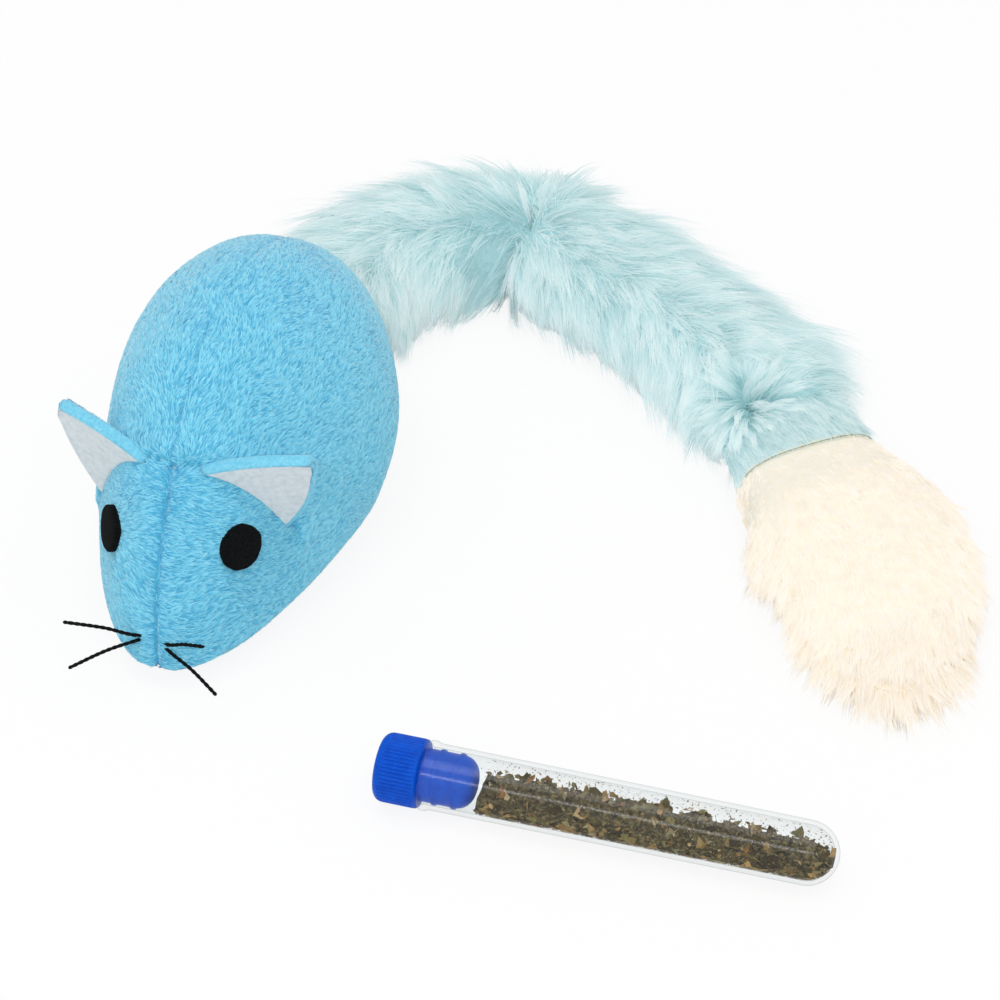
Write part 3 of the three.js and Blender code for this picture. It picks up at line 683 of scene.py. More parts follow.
class Ear:
    def __init__(self, side):
        self.side = side
        self.corner = body_point(*EAR_INNER, side)
        base = body_point(*EAR_OUTER, side) - self.corner
        self.base_length = float(np.linalg.norm(base))
        self.base = unit(base)
        middle = tuple((a + b) / 2 for a, b in zip(EAR_INNER, EAR_OUTER))
        self.foot = body_point(*middle, side)
        stand = body_normal(*middle, side)
        stand = unit(stand - self.base * (stand @ self.base))
        self.stand = turned(stand, self.base, -side * EAR_LEAN[side])
        self.front = np.cross(self.base, self.stand) * side

    def at(self, along, height):
        """The places that far along the base line and above it."""
        return self.corner + self.base * along[..., None] + self.stand * height[..., None]

    def layer(self, inset, outer_inset, top_inset, offset, thickness, rim, rows=26, columns=61):
        """The front and back faces of one layer, as grids that meet at its edge. A rim folds to the front."""
        u = np.linspace(0, 1, columns)[None]
        start = np.zeros((1, columns))
        for _ in range(4):
            inner, outer = ear_edges(start, self.base_length)
            place = self.at(lerp(inner, outer, u), start)
            start = (onto_body(place, self.stand) - self.corner) @ self.stand
        share = np.linspace(0, 1, rows)[:, None] ** 0.9
        height = lerp(start - 1.1, EAR_HEIGHT - top_inset, share)
        inner, outer = ear_edges(height * EAR_HEIGHT / (EAR_HEIGHT - top_inset), self.base_length)
        most = (outer - inner) * 0.35
        inner, outer = inner + np.minimum(inset, most), outer - np.minimum(outer_inset, most)
        up = height / EAR_HEIGHT
        bend = -0.9 * (1 - (2 * u - 1) ** 2) * np.clip(up, 0, 1) + 0.7 * np.clip(up, 0, 1) ** 2
        middle = self.at(lerp(inner, outer, u), height)
        edge = np.minimum(np.minimum(u, 1 - u) * (outer - inner), EAR_HEIGHT - top_inset - height)
        round_edge = np.sqrt(1 - (1 - np.clip(edge / EDGE_ROUND, 0, 1)) ** 2)
        swell = thickness / 2 * (0.12 + 0.88 * round_edge)
        folded = 1.0 if self.side > 0 else 1 - ease(u, 0.4, 0.7)
        fold = rim * folded * bell(edge - EDGE_ROUND, EDGE_ROUND) * ease(edge, -0.1, 0.5)
        towards = bend + offset
        front, back = (middle + self.front * (towards + sign * swell)[..., None] for sign in (1, -1))
        return front + self.front * fold[..., None], back


def closed_layer(name, faces, material):
    """The two faces of a layer, joined all round."""
    rows, columns = faces[0].shape[:2]
    front = grid_corners(rows, columns)
    index = np.arange(rows * columns).reshape(rows, columns)
    rim = np.concatenate([index[0, :-1], index[:-1, -1], index[-1, :0:-1], index[:0:-1, 0]])
    after = np.roll(rim, -1)
    other = rows * columns
    walls = np.stack([rim, after, after + other, rim + other], axis=1)
    quads = np.concatenate([front, front[:, ::-1] + other, walls])
    vertices = np.concatenate([face.reshape(-1, 3) for face in faces])
    piece = mesh_piece(name, vertices, quads.ravel(), np.full(len(quads), 4), material)
    shape = bmesh.new()
    shape.from_mesh(piece.data)
    bmesh.ops.recalc_face_normals(shape, faces=shape.faces)
    shape.to_mesh(piece.data)
    shape.free()
    return piece


def ear_pile(name, ear, grid):
    """Short nap on the back of the ear."""
    rows, columns = np.linspace(0, 1, grid.shape[0])[:, None], np.linspace(0, 1, grid.shape[1])[None]
    width = np.linalg.norm(grid[:, -1] - grid[:, 0], axis=-1)[:, None]
    gap = np.minimum(np.minimum(columns, 1 - columns) * width, (1 - rows) * EAR_HEIGHT)
    root, gap = scatter([grid, gap[..., None]], 3600)
    root = root[gap[:, 0] > 0.9]
    normal = np.tile(-ear.front, (len(root), 1))
    flow = unit(ear.stand + rng.normal(0, 0.3, root.shape))
    flow = unit(onto_plane(flow, normal))
    length = rng.uniform(0.5, 1.0, (len(root), 1))
    paths = pile_paths(root, normal, flow, length, rng.uniform(0.1, 0.22, (len(root), 1)))
    tint = 0.6 + rng.normal(0, 0.25, len(root))
    return ribbons(name, paths, normal, rng.uniform(0.2, 0.36, len(root)), tint, plush_strand, 0.4, 0.6)


for word, side in SIDES:
    ear = Ear(side)
    back_faces = ear.layer(0.0, 0.0, 0.0, -0.75, 1.4, 1.15)
    lining_faces = ear.layer(0.9, 0.7 if side > 0 else -0.1, 0.8, 0.42, 0.9, 0.0)
    back = closed_layer(f"ear_cloth_{word}", back_faces, ear_plush)
    lining = closed_layer(f"ear_felt_{word}", lining_faces, white_felt)
    pile = ear_pile(f"ear_pile_{word}", ear, back_faces[1])
    for piece, slot, replaced in (
        (back, "plush_blue", f"ear_{word}_back"),
        (lining, "felt_white", f"ear_{word}_lining"),
        (pile, "plush_blue", None),
    ):
        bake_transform(piece)
        if replaced:
            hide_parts(replaced)


# Tail: the line it lies along, the cloth inside the fur, and the fur
# A run is a distance along that line from the root. Angles go round it from the inside of the bend upwards.

TAIL_ROOT = np.array([0.0, 53.0])
TAIL_START = -11.0
TAIL_STRAIGHT, TAIL_BEND_RADIUS = 8.0, 34.0
TAIL_MIDDLE_LENGTH, MIDDLE_HEADING, MIDDLE_BEND = 89.0, -24.0, 26.0
TAIL_CREASE = TAIL_STRAIGHT + TAIL_BEND_RADIUS * math.pi / 2
TAIL_END = TAIL_CREASE + TAIL_MIDDLE_LENGTH
ROOT_RADIUS, ROOT_RISE = 9.5, 5.0
TAIL_HALF_WIDTH, TAIL_HALF_HEIGHT, TAIL_BASE_Z = 17.0, 12.8, 12.3
SEAM_HALF_WIDTH, SEAM_HALF_HEIGHT = 14.5, 7.5
CREASE_AT, SEAM_AT = np.array([34.0, 95.0]), np.array([104.47, 41.897])
SEAM_HEADING = math.radians(-50)
SEAM_CORNER = 0.72
SEAM_HEIGHT = 7.0
TAIL_STEP = 0.5
FUR_START = -7.0
FUR_TURN = 62.0  # the run where the fur turns from the body towards the tip
PARTING = math.radians(60)
WHORL, WHORL_REACH, WHORL_RADIUS = TAIL_END - 14, 11.0, 6.0
BAND = TAIL_END - 7
TAIL_GIRTH = 11.0  # millimetres round the top of the tail for each radian


def tail_line():
    """Places and headings every half millimetre along the tail, with its crease eased."""
    run = np.arange(TAIL_START, TAIL_END + TAIL_STEP / 2, TAIL_STEP)
    bent = np.degrees((run - TAIL_STRAIGHT) / TAIL_BEND_RADIUS)
    heading = np.where(run < TAIL_STRAIGHT, 90.0, 90 - bent)
    past_crease = MIDDLE_HEADING - MIDDLE_BEND * (run - TAIL_CREASE) / TAIL_MIDDLE_LENGTH
    heading = np.where(run > TAIL_CREASE, past_crease, heading)
    window = np.hanning(31)
    padded = np.pad(heading, 15, mode="edge")
    heading = np.radians(np.convolve(padded, window / window.sum(), mode="valid"))
    steps = np.stack([np.cos(heading), np.sin(heading)], axis=-1) * TAIL_STEP
    points = np.cumsum(steps, axis=0)
    marks = np.array([0.0, TAIL_CREASE, TAIL_END])
    reached = np.stack([np.interp(marks, run, points[:, k]) for k in (0, 1)], axis=-1)
    errors = np.array([TAIL_ROOT, CREASE_AT, SEAM_AT]) - reached
    shift = np.stack([np.interp(run, marks, errors[:, k]) for k in (0, 1)], axis=-1)
    return run, points + shift, heading


RUN, LINE, HEADING = tail_line()


def on_line(x, y, z, heading):
    """Place, heading vector and the level direction across it, towards the inside of the tail's bend."""
    place = np.stack(np.broadcast_arrays(x, y, z), axis=-1)
    forward = np.stack(np.broadcast_arrays(np.cos(heading), np.sin(heading), 0.0), axis=-1)
    return place, forward, np.cross(forward, UP)


def along_tail(run):
    x, y, heading = (np.interp(run, RUN, known) for known in (*LINE.T, HEADING))
    return on_line(x, y, 0.0, heading)


def tail_section(run):
    """Half width, half height, middle height and corner power of the cloth inside the fur."""
    swell = ease(run, 0, 15)
    flatten = ease(run, TAIL_END - 34, TAIL_END)
    width = lerp(lerp(ROOT_RADIUS, TAIL_HALF_WIDTH, swell), SEAM_HALF_WIDTH, flatten)
    height = lerp(lerp(ROOT_RADIUS, TAIL_HALF_HEIGHT, swell), SEAM_HALF_HEIGHT, flatten)
    root_middle = TAIL_BASE_Z + ROOT_RISE * (1 - ease(run, -9, 16))
    middle = np.where(run < TAIL_END / 2, root_middle, height - 0.5)
    inset = lerp(lerp(2.0, 2.8, swell), 0.8, ease(run, TAIL_END - 16, TAIL_END - 3))
    height = height - inset - 1.6 * ease(run, TAIL_END - 20, TAIL_END)
    rounded = np.sqrt(1 - np.clip(run / TAIL_START, 0, 0.99) ** 2)
    return (width - inset) * rounded, height * rounded, middle, lerp(1, SEAM_CORNER, flatten)


def filled(share, corner):
    return np.sign(share) * np.abs(share) ** corner


def hollow(run, angle):
    """How deep in the fold inside the crease a place lies, from 0 to 1. The hair there is also tinted darker
    by it, as painted shade.
    """
    inner = np.clip(np.cos(angle - math.radians(28)), 0, 1) ** 3
    before = ease(run, TAIL_CREASE - 24, TAIL_CREASE - 5)
    after = ease(run, TAIL_CREASE - 1, TAIL_CREASE + 4)
    return inner * before * (1 - after)


def tail_skin(run, angle, proud=0.0):
    """Points of the cloth, drawn in on the inside of the crease."""
    place, _, across = along_tail(run)
    width, height, middle, corner = tail_section(run)
    scale = 1 - 0.4 * hollow(run, angle)
    outward = ease(run, FUR_TURN, 85) * (1 - ease(run, 125, TAIL_END - 4))
    reach = (width + proud) * scale * filled(np.cos(angle), corner) - outward
    rise = middle + (height + proud) * scale * filled(np.sin(angle), corner)
    return place + across * reach[..., None] + UP * rise[..., None]


def tail_grid(low, high):
    """The cloth between two runs: its points, normals, ways forward and around, runs and angles."""
    run = np.arange(low, high + 0.01, 1.0)[:, None] * np.ones((1, 73))
    angle = np.linspace(-math.pi / 2, 1.5 * math.pi, 73)[None] * np.ones_like(run)
    grid = tail_skin(run, angle)
    around = unit(np.gradient(grid, axis=1))
    return grid, grid_normals(grid), along_tail(run)[1], around, run[..., None], angle[..., None]


def tufts(root, normal, flow, length, lift, droop, per, spread, pinch, stray, steps=5):
    """Hairs in tufts: each tuft follows one bending line, and its hairs draw together towards their tips."""
    path = [root]
    for i in range(1, steps):
        share = i / (steps - 1)
        way = unit(normal * lift * (1 - 0.8 * share) + flow - UP * droop * share)
        path.append(path[-1] + way * length / (steps - 1))
    guide = np.stack(path, axis=1)
    pick = np.repeat(np.arange(len(root)), per)
    count = len(pick)
    across = unit(np.cross(normal, flow))[pick]
    offset = spread * (across * rng.normal(0, 1, (count, 1)) + flow[pick] * rng.normal(0, 1, (count, 1)))
    t = np.linspace(0, 1, steps)[None, :, None]
    grown = (guide - guide[:, :1])[pick] * rng.uniform(0.7, 1.12, (count, 1, 1))
    wander = rng.normal(0, stray, (count, 1, 3)) * t**2
    drawn = np.broadcast_to(pinch, (len(root), 1))[pick][:, None]
    paths = root[pick][:, None] + offset[:, None] * (1 - drawn * t**1.3) + grown + wander
    return paths, pick


def out_of_body(paths):
    """Hairs that would run into the rump are laid back against it."""
    flat = paths.reshape(-1, 3)
    near = flat[:, 1] < RUMP_Y + 1
    points = flat[near]
    for _ in range(40):
        inside = body_depth(points) < 1.03
        if not inside.any():
            break
        points[inside, 1] += 0.5
    flat[near] = points
    return flat.reshape(paths.shape)


def tuft_tints(base, pick, count, by_tuft, by_hair):
    return base + by_tuft * rng.normal(0, 1, count)[pick] + rng.normal(0, by_hair, len(pick))


def tail_fur(name, low, high, guides, per, length, width, spread, pinch, outermost=0.0):
    """Hair that parts along the top, towards the body before the crease and towards the tip after it."""
    parts = tail_grid(low, high)
    run, angle = (part[..., 0] for part in parts[4:])
    thick = 1 + 1.6 * bell(run - FUR_TURN, 6) + 1.2 * bell(angle - PARTING, 0.3)
    thick = thick + 0.8 * bell(angle + 0.5, 0.5)
    thick = thick * lerp(1, np.clip(-np.cos(angle), 0, 1), outermost)
    root, normal, forward, around, run, angle = scatter(parts, guides, thick)
    normal, around = unit(normal), unit(around)
    away = (angle - PARTING + math.pi) % (2 * math.pi) - math.pi
    outer = np.clip(-np.cos(angle), 0, 1)
    lengthwise = -1 + 2 * ease(run, FUR_TURN - 3 - 16 * outer, FUR_TURN + 5 + 14 * outer)
    ending = ease(run, TAIL_END - 26, TAIL_END - 12)
    sideways = np.tanh(away / 0.2) * np.clip(np.cos(away / 2), 0.15, 1)
    swirl = 0.45 * field(root, 16, 21)[:, None]
    flow = forward * lengthwise * (1 - 0.8 * ending) + around * (sideways * (1 - 0.4 * ending) + swirl)
    settled = np.clip(np.linalg.norm(flow, axis=-1, keepdims=True), 0.6, 1)
    to_whorl = np.hypot(run - WHORL, away * TAIL_GIRTH)
    whorl = bell(to_whorl, WHORL_REACH)
    radial = (forward * (run - WHORL) + around * away * TAIL_GIRTH) / np.maximum(to_whorl, 1)
    flow = unit(lerp(flow, radial, whorl) + rng.normal(0, 0.16, root.shape))
    under = np.clip(-normal[:, 2:3], 0, 1)
    ridge = bell(away, 0.3) * (1 - ending)
    lift = (lerp(0.5, 0.7, ending) + 1.3 * whorl - 0.3 * under + 0.35 * ridge) * settled
    size = length * rng.uniform(0.75, 1.15, run.shape) * (1 - 0.45 * ending) * (1 - 0.15 * whorl) * settled
    size = size * lerp(0.55, 1, ease(run, -4, 20)) * (1 + 0.35 * outer + 0.3 * hollow(run, angle))
    droop = 0.45 + 0.2 * rng.random(run.shape) - 0.3 * outer
    gather = pinch * (1 - 0.7 * outer * (1 - whorl))
    paths, pick = tufts(root - normal, normal, flow, size, lift, droop, per, spread, gather, 0.5)
    paths = out_of_body(off_floor(paths, 0.4))
    tint = tuft_tints(0.62, pick, guides, 0.2, 0.12)
    # Painted light and shade: hair on the outer side is tinted lighter, and hair in the crease's fold and
    # round the whorl darker.
    tint += (0.15 * outer - 0.55 * hollow(run, angle) - 0.6 * bell(to_whorl, 5))[pick, 0]
    thin = rng.uniform(*width, len(pick))
    return ribbons(name, paths, normal[pick], thin, tint, aqua_strand)


def seam_band_fur():
    """Hair combed straight down to the seam of the tip."""
    guides = 1500
    root, normal, forward, _, run, _ = scatter(tail_grid(BAND - 6, TAIL_END - 1.2), guides)
    normal = unit(normal)
    left = TAIL_END + 0.4 - run
    length = np.minimum(rng.uniform(5.0, 8.0, left.shape), np.maximum(left, 1.5))
    flow = unit(forward + rng.normal(0, 0.1, root.shape))
    lift = 0.5 * ease(left, 1, 8)
    paths, pick = tufts(root - normal * 0.5, normal, flow, length, lift, 0.0, 11, 0.7, 0.4, 0.25, 4)
    tint = tuft_tints(0.45, pick, guides, 0.15, 0.15)
    thin = rng.uniform(0.16, 0.28, len(pick))
    return ribbons("seam_band", off_floor(paths, 0.4), normal[pick], thin, tint, aqua_strand)


def whorl_fur():
    """Short tufts that stand out all round from one place near the seam."""
    guides = 110
    turn, share = rng.uniform(0, 2 * math.pi, (guides, 1)), np.sqrt(rng.random((guides, 1)))
    run = WHORL + WHORL_RADIUS * share * np.cos(turn)
    angle = PARTING + WHORL_RADIUS * share * np.sin(turn) / TAIL_GIRTH
    _, forward, across = along_tail(run[:, 0])
    normal = across * np.cos(angle) + UP * np.sin(angle)
    around = UP * np.cos(angle) - across * np.sin(angle)
    root = tail_skin(run[:, 0], angle[:, 0], 1.5)
    flow = forward * np.cos(turn) + around * np.sin(turn)
    length = rng.uniform(6.0, 8.0, run.shape)
    paths, pick = tufts(root, normal, flow, length, lerp(1.8, 0.7, share), 0.1, 22, 0.55, 0.8, 0.3)
    # Painted shade: the tufts are tinted darker towards the whorl's middle.
    tint = tuft_tints(0.35 + 0.35 * share[pick, 0], pick, guides, 0.2, 0.12)
    thin = rng.uniform(0.16, 0.3, len(pick))
    return ribbons("whorl_fur", paths, normal[pick], thin, tint, aqua_strand)


ROOT_TO, CREASE_TO = 34.0, 98.0


def tail_blend(piece, parent, child, at, heading, back, ahead):
    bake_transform(piece)


# The two bodies, where they meet, the heading there, and two distances before and after it
ROOT_JOINT = "mouse_body", "tail_base", TAIL_ROOT, math.pi / 2, 2, 8
CREASE_JOINT = "tail_base", "tail_middle", CREASE_AT, math.radians(-12), 12, 12
SEAM_JOINT = "tail_middle", "tail_tip", SEAM_AT, SEAM_HEADING, 6, 2
TAIL_PIECES = [
    ("root", TAIL_START, ROOT_TO, ROOT_JOINT),
    ("crease", ROOT_TO, CREASE_TO, CREASE_JOINT),
    ("end", CREASE_TO, TAIL_END, SEAM_JOINT),
]
# Name, tufts for each millimetre, hairs in a tuft, length, widths, spread, pinch and share on the outside
TAIL_COATS = [
    ("under_fur", 26, 12, 6.5, (0.24, 0.38), 1.2, 0.4, 0.0),
    ("fur", 17, 22, 12.5, (0.16, 0.3), 1.4, 0.78, 0.0),
    ("wisps", 14, 16, 14.0, (0.04, 0.07), 1.8, 0.2, 0.9),
]
for word, low, high, joint in TAIL_PIECES:
    core = grid_piece(f"tail_cloth_{word}", tail_grid(low, high)[0], aqua_cloth)
    start, end = max(low, FUR_START), min(high, BAND - 1)
    pieces = [core]
    for coat, density, *hair in TAIL_COATS:
        pieces.append(tail_fur(f"tail_{coat}_{word}", start, end, int(density * (end - start)), *hair))
    for piece in pieces:
        tail_blend(piece, *joint)
    if word == "crease":
        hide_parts("tail_base", "tail_middle")
for piece in (seam_band_fur(), whorl_fur()):
    tail_blend(piece, *SEAM_JOINT)


# Seam of the tip: a thin dark line drawn as a thread, the painted shadow of the gap under the band's edge

def seam_shadow_line():
    angle = np.linspace(0.3, math.pi - 0.3, 120)
    line = tail_skin(np.full(120, TAIL_END), angle, 0.9)
    radius = 0.1 + 0.03 * np.sin(np.arange(120) * 1.9)
    turn = np.linspace(0, 2 * math.pi, 9)
    return tube_piece("tip_seam_thread", line, turn, radius[:, None], olive_seam_shadow)


rides(seam_shadow_line(), "tail_middle", "fur_aqua")


# Tip: two panels of paler fur, the lower one longer than the upper and tinted darker, as painted shade under
# it

TIP_LENGTH, TIP_WIDEST, TIP_HALF_WIDTH, TIP_HALF_HEIGHT = 66.0, 26.0, 21.5, 7.5
TIP_BEND = math.radians(28)
TIP_ROUNDNESS = 2.2
FRONT_SKY = unit(np.array([0.1, -0.5, 1.0]))


def along_tip(run):
    half = TIP_BEND * run / TIP_LENGTH / 2
    chord = run * np.sinc(half / math.pi)
    x = SEAM_AT[0] + chord * np.cos(SEAM_HEADING - half)
    y = SEAM_AT[1] + chord * np.sin(SEAM_HEADING - half)
    return on_line(x, y, SEAM_HEIGHT, SEAM_HEADING - 2 * half)


def tip_grid(length, low_angle, high_angle, inset):
    """One panel's cloth, flat on top past a full turn: points, normals, ways forward and out, and runs."""
    share = np.sin(np.linspace(0, math.pi / 2, 61))[:, None]
    run = lerp(-1.5, length - inset, share) * np.ones((1, 61))
    angle = np.linspace(low_angle, high_angle, 61)[None] * np.ones_like(run)
    drawn_in = lerp(0.8, inset, ease(run, 10, 40))
    spread = lerp(SEAM_HALF_WIDTH, TIP_HALF_WIDTH, ease(run, -6, TIP_WIDEST - 2)) - drawn_in
    past = np.clip((run - TIP_WIDEST) / (length - inset - TIP_WIDEST), 0, 1)
    rounding = np.sqrt(np.clip(1 - past**TIP_ROUNDNESS, 0, 1))
    reach = spread * rounding * filled(np.cos(angle), SEAM_CORNER)
    rise = (TIP_HALF_HEIGHT - 0.5 * drawn_in) * np.sqrt(rounding) * filled(np.sin(angle), SEAM_CORNER)
    rise = np.where(angle > 2 * math.pi, 0.1 * rise, rise) * lerp(0.77, 1, ease(run, 0, 16))
    place, forward, across = along_tip(run)
    grid = off_floor(place + across * reach[..., None] + UP * rise[..., None], 1.2)
    normal = grid_normals(grid)
    normal[-1] = forward[-1]
    return grid, normal, forward, across * np.cos(angle)[..., None], run[..., None]


def tip_fur(name, parts, guides, per, length, lift, outward, tone):
    thick = 2.5 - 1.5 * ease(parts[-1][..., 0], 4, 18)
    root, normal, forward, out, run = scatter(parts, guides, thick)
    normal = unit(normal)
    flow = forward * 0.8 + out * outward + rng.normal(0, 0.12, root.shape)
    flow = flow + 0.16 * np.cross(forward, UP) * field(root, 14, 31)[:, None]
    size = length * rng.uniform(0.75, 1.2, (guides, 1)) * lerp(0.75, 1, ease(run, 0, 12))
    rise = lift * lerp(0.4, 1, ease(run, 0, 8))
    paths, pick = tufts(root - normal * 0.6, normal, unit(flow), size, rise, 0.3, per, 0.8, 0.35, 0.25, 4)
    tint = tuft_tints(tone, pick, guides, 0.18, 0.14)
    thin = rng.uniform(0.2, 0.34, len(pick))
    return ribbons(name, off_floor(paths, 0.35), normal[pick], thin, tint, cream_strand, sky=FRONT_SKY)


# The last value is each panel's tone: the lower panel's is lower, as painted shade.
for word, length, angles, inset, guides, hair, lift, outward, tone in (
    ("upper", TIP_LENGTH - 2, (0.0, math.pi), 2.2, 4200, 5.0, 0.36, 0.2, 0.62),
    ("lower", TIP_LENGTH + 4, (math.pi, 3 * math.pi), 4.0, 3200, 8.0, 0.2, 0.35, 0.35),
):
    parts = tip_grid(length, *angles, inset)
    core = grid_piece(f"tip_cloth_{word}", parts[0], cream_cloth)
    rides(core, "tail_tip", "fur_cream", f"tail_tip_{word}")
    fur = tip_fur(f"tip_fur_{word}", parts, guides, 11, hair, lift, outward, tone)
    rides(fur, "tail_tip", "fur_cream")


# Vial: clear tube, ribbed stopper and dried leaf

VIAL_Y, VIAL_Z = -60.5, 6.4
MOUTH_X, TUBE_LENGTH = 56.5, 75.0
TUBE_WIDE, TUBE_NARROW, TUBE_WALL = 6.05, 5.75, 0.8
TUBE_ROUND_X = MOUTH_X + TUBE_LENGTH - TUBE_NARROW
PLUG_RADIUS, PLUG_ROUND, PLUG_END = 4.8, 3.1, 66.0
CAP_RIBS = 54, 0.25, 49.1, 55.9  # count, depth, and where they start and end
AXIS = 0.002  # the radius that closes a turned skin


def lathe(name, profile, sides, material, ribs=None):
    """A closed skin turned about the vial's axis, from points of (x, radius)."""
    x, radius = np.array(profile, float).T
    turn = np.arange(sides) * 2 * math.pi / sides
    reach = radius[:, None] * np.ones((1, sides))
    if ribs:
        count, depth, low, high = ribs
        fade = ease(x, low, low + 0.6) * (1 - ease(x, high - 0.6, high))
        reach = reach - (depth * fade)[:, None] * (0.5 - 0.5 * np.cos(count * turn))[None] ** 2
    grid = np.stack([
        x[:, None] * np.ones((1, sides)), VIAL_Y + reach * np.cos(turn), VIAL_Z + reach * np.sin(turn)
    ], axis=-1)
    rows = len(x)
    i, j = np.meshgrid(np.arange(rows - 1), np.arange(sides), indexing="ij")
    a, b = (i * sides + j).ravel(), (i * sides + (j + 1) % sides).ravel()
    quads = np.stack([a, b, b + sides, a + sides], axis=1)
    return mesh_piece(name, grid.reshape(-1, 3), quads.ravel(), np.full(len(quads), 4), material)


def outside_at(x):
    """Outside radius of the tube before its round end."""
    return lerp(TUBE_WIDE, TUBE_NARROW, (x - MOUTH_X) / (TUBE_ROUND_X - MOUTH_X))


def round_end(radius, turns):
    return [(TUBE_ROUND_X + radius * math.sin(t), max(radius * math.cos(t), AXIS)) for t in turns]


def bore_at(x):
    """Inside radius of the tube."""
    straight = outside_at(x) - TUBE_WALL
    end = TUBE_NARROW - TUBE_WALL
    past = np.clip(x - TUBE_ROUND_X, 0, end)
    return np.where(x < TUBE_ROUND_X, straight, np.sqrt(np.maximum(end**2 - past**2, 0)))


def tube_profile():
    bend = np.linspace(0, math.pi / 2, 13)
    lip = [
        (0.2, 5.4), (0.03, 5.65), (0.0, 6.0), (0.18, 6.3), (0.7, 6.4), (1.2, 6.36), (1.6, 6.14), (2.1, 6.05),
    ]
    outer = [(MOUTH_X + x, r) for x, r in lip]
    outer += [(x, outside_at(x)) for x in (75.0, 100.0)] + round_end(TUBE_NARROW, bend)
    inner = round_end(TUBE_NARROW - TUBE_WALL, bend[::-1])
    inner += [(x, float(bore_at(x))) for x in (100.0, 75.0, MOUTH_X + 0.8)]
    return outer + inner + outer[:1]


def stopper_profile():
    cap = [
        (48.7, AXIS), (48.6, 2.5), (48.35, 4.2), (48.2, 4.9), (48.3, 5.45), (48.6, 5.85), (49.0, 6.12),
        (49.5, 6.27), (50.1, 6.3), (52.0, 6.3), (54.0, 6.3), (55.4, 6.3), (55.9, 6.24), (56.15, 6.05),
        (56.2, 5.7), (56.2, 4.7),
    ]
    plug = [(56.3, PLUG_RADIUS), (58.2, PLUG_RADIUS)]
    for ring in (59.1, 62.7):
        bulge = (-0.45, 0.0), (-0.3, 0.25), (0.0, 0.3), (0.3, 0.25), (0.45, 0.0)
        plug += [(ring + along, PLUG_RADIUS + out) for along, out in bulge]
    for t in np.linspace(0, math.pi / 2, 9)[1:]:
        plug.append((PLUG_END - PLUG_ROUND * (1 - math.sin(t)), PLUG_RADIUS - PLUG_ROUND * (1 - math.cos(t))))
    return cap + plug + [(PLUG_END, AXIS)]


def clear_plastic():
    """Thin clear plastic: light passes straight on, and only the gloss at its skin shows."""
    made, tree, surface = bare_material("clear_plastic")
    edge = node(tree, "ShaderNodeLayerWeight", {"Blend": 0.5}).outputs["Facing"]
    tones = (0.0, linear(253, 254, 254)), (0.7, linear(250, 251, 251)), (1.0, linear(226, 231, 232))
    tone = ramp(tree, edge, tones)
    through_it = node(tree, "ShaderNodeBsdfTransparent", {"Color": tone}).outputs["BSDF"]
    scuffs = {"Value": object_noise(tree, 3.0), "To Min": 0.1, "To Max": 0.18}
    rough = node(tree, "ShaderNodeMapRange", scuffs).outputs["Result"]
    gloss = node(tree, "ShaderNodeBsdfGlossy", {"Roughness": rough}).outputs["BSDF"]
    share = ramp(tree, edge, [(0.0, grey(0.022)), (0.5, grey(0.024)), (0.9, grey(0.16)), (1.0, grey(0.4))])
    mixed = node(tree, "ShaderNodeMixShader", {0: share, 1: through_it, 2: gloss}).outputs["Shader"]
    tree.links.new(mixed, surface)
    return made


blue_plastic = two_tone("blue_plastic", (0, 74, 190), (0, 88, 212), 1.5, 0.4, 0.02, specular=0.12)
leaf_flake = strand_material(
    "leaf_flake",
    [(0.0, grey(0.78)), (0.5, grey(0.95)), (1.0, grey(1.0))],
    [
        (0.0, linear(40, 32, 14)), (0.15, linear(86, 74, 34)), (0.33, linear(142, 132, 80)),
        (0.5, linear(150, 104, 54)), (0.64, linear(170, 164, 124)), (0.8, linear(126, 116, 66)),
        (0.92, linear(200, 160, 100)), (1.0, linear(222, 212, 176)),
    ],
    0.9, 0.0,
)
leaf_dust = mottled_material(
    "leaf_dust", [(0.3, linear(26, 22, 11)), (0.5, linear(80, 70, 40)), (0.7, linear(140, 128, 90))],
    0.7, 1.0, 0.5,
)

tube = lathe("clear_tube", tube_profile(), 96, clear_plastic())
rides(tube, "vial", "tube_clear", "vial_tube")
stopper = lathe("ribbed_stopper", stopper_profile(), 432, blue_plastic, CAP_RIBS)
rides(stopper, "stopper", "stopper_blue", "vial_stopper")

LEAF_FROM, LEAF_TO, LEAF_TOP = 66.7, 130.2, VIAL_Z - 1.5


def leaf_top(x, y):
    flat = np.stack([x, y, np.zeros_like(x)], axis=-1)
    return LEAF_TOP + 0.55 * field(flat, 5.0, 41) + 0.35 * field(flat, 1.8, 43)


def leaf_bed():
    """The finer leaf that has settled in the tube."""
    x = np.linspace(LEAF_FROM, LEAF_TO, 160)[:, None]
    share = np.linspace(0, 1, 25)[None]
    radius = np.maximum(bore_at(x) - 0.45, 0.3)
    dip = np.clip((LEAF_TOP - VIAL_Z) / radius, -0.9, 0.9)
    edge = radius * np.sqrt(1 - dip**2)
    y_top = VIAL_Y + lerp(edge, -edge, share)
    ceiling = VIAL_Z + np.sqrt(np.maximum(radius**2 - (y_top - VIAL_Y) ** 2, 0))
    z_top = np.minimum(leaf_top(x + 0 * y_top, y_top), ceiling)
    start = np.arctan2(dip, -np.sqrt(1 - dip**2)) % (2 * math.pi)
    end = 3 * math.pi - start
    turn = lerp(start, end, share)
    y_low, z_low = VIAL_Y + radius * np.cos(turn), VIAL_Z + radius * np.sin(turn)
    y, z = np.concatenate([y_top, y_low], axis=1), np.concatenate([z_top, z_low], axis=1)
    return grid_piece("catnip_bed", np.stack([x + 0 * y, y, z], axis=-1), leaf_dust)


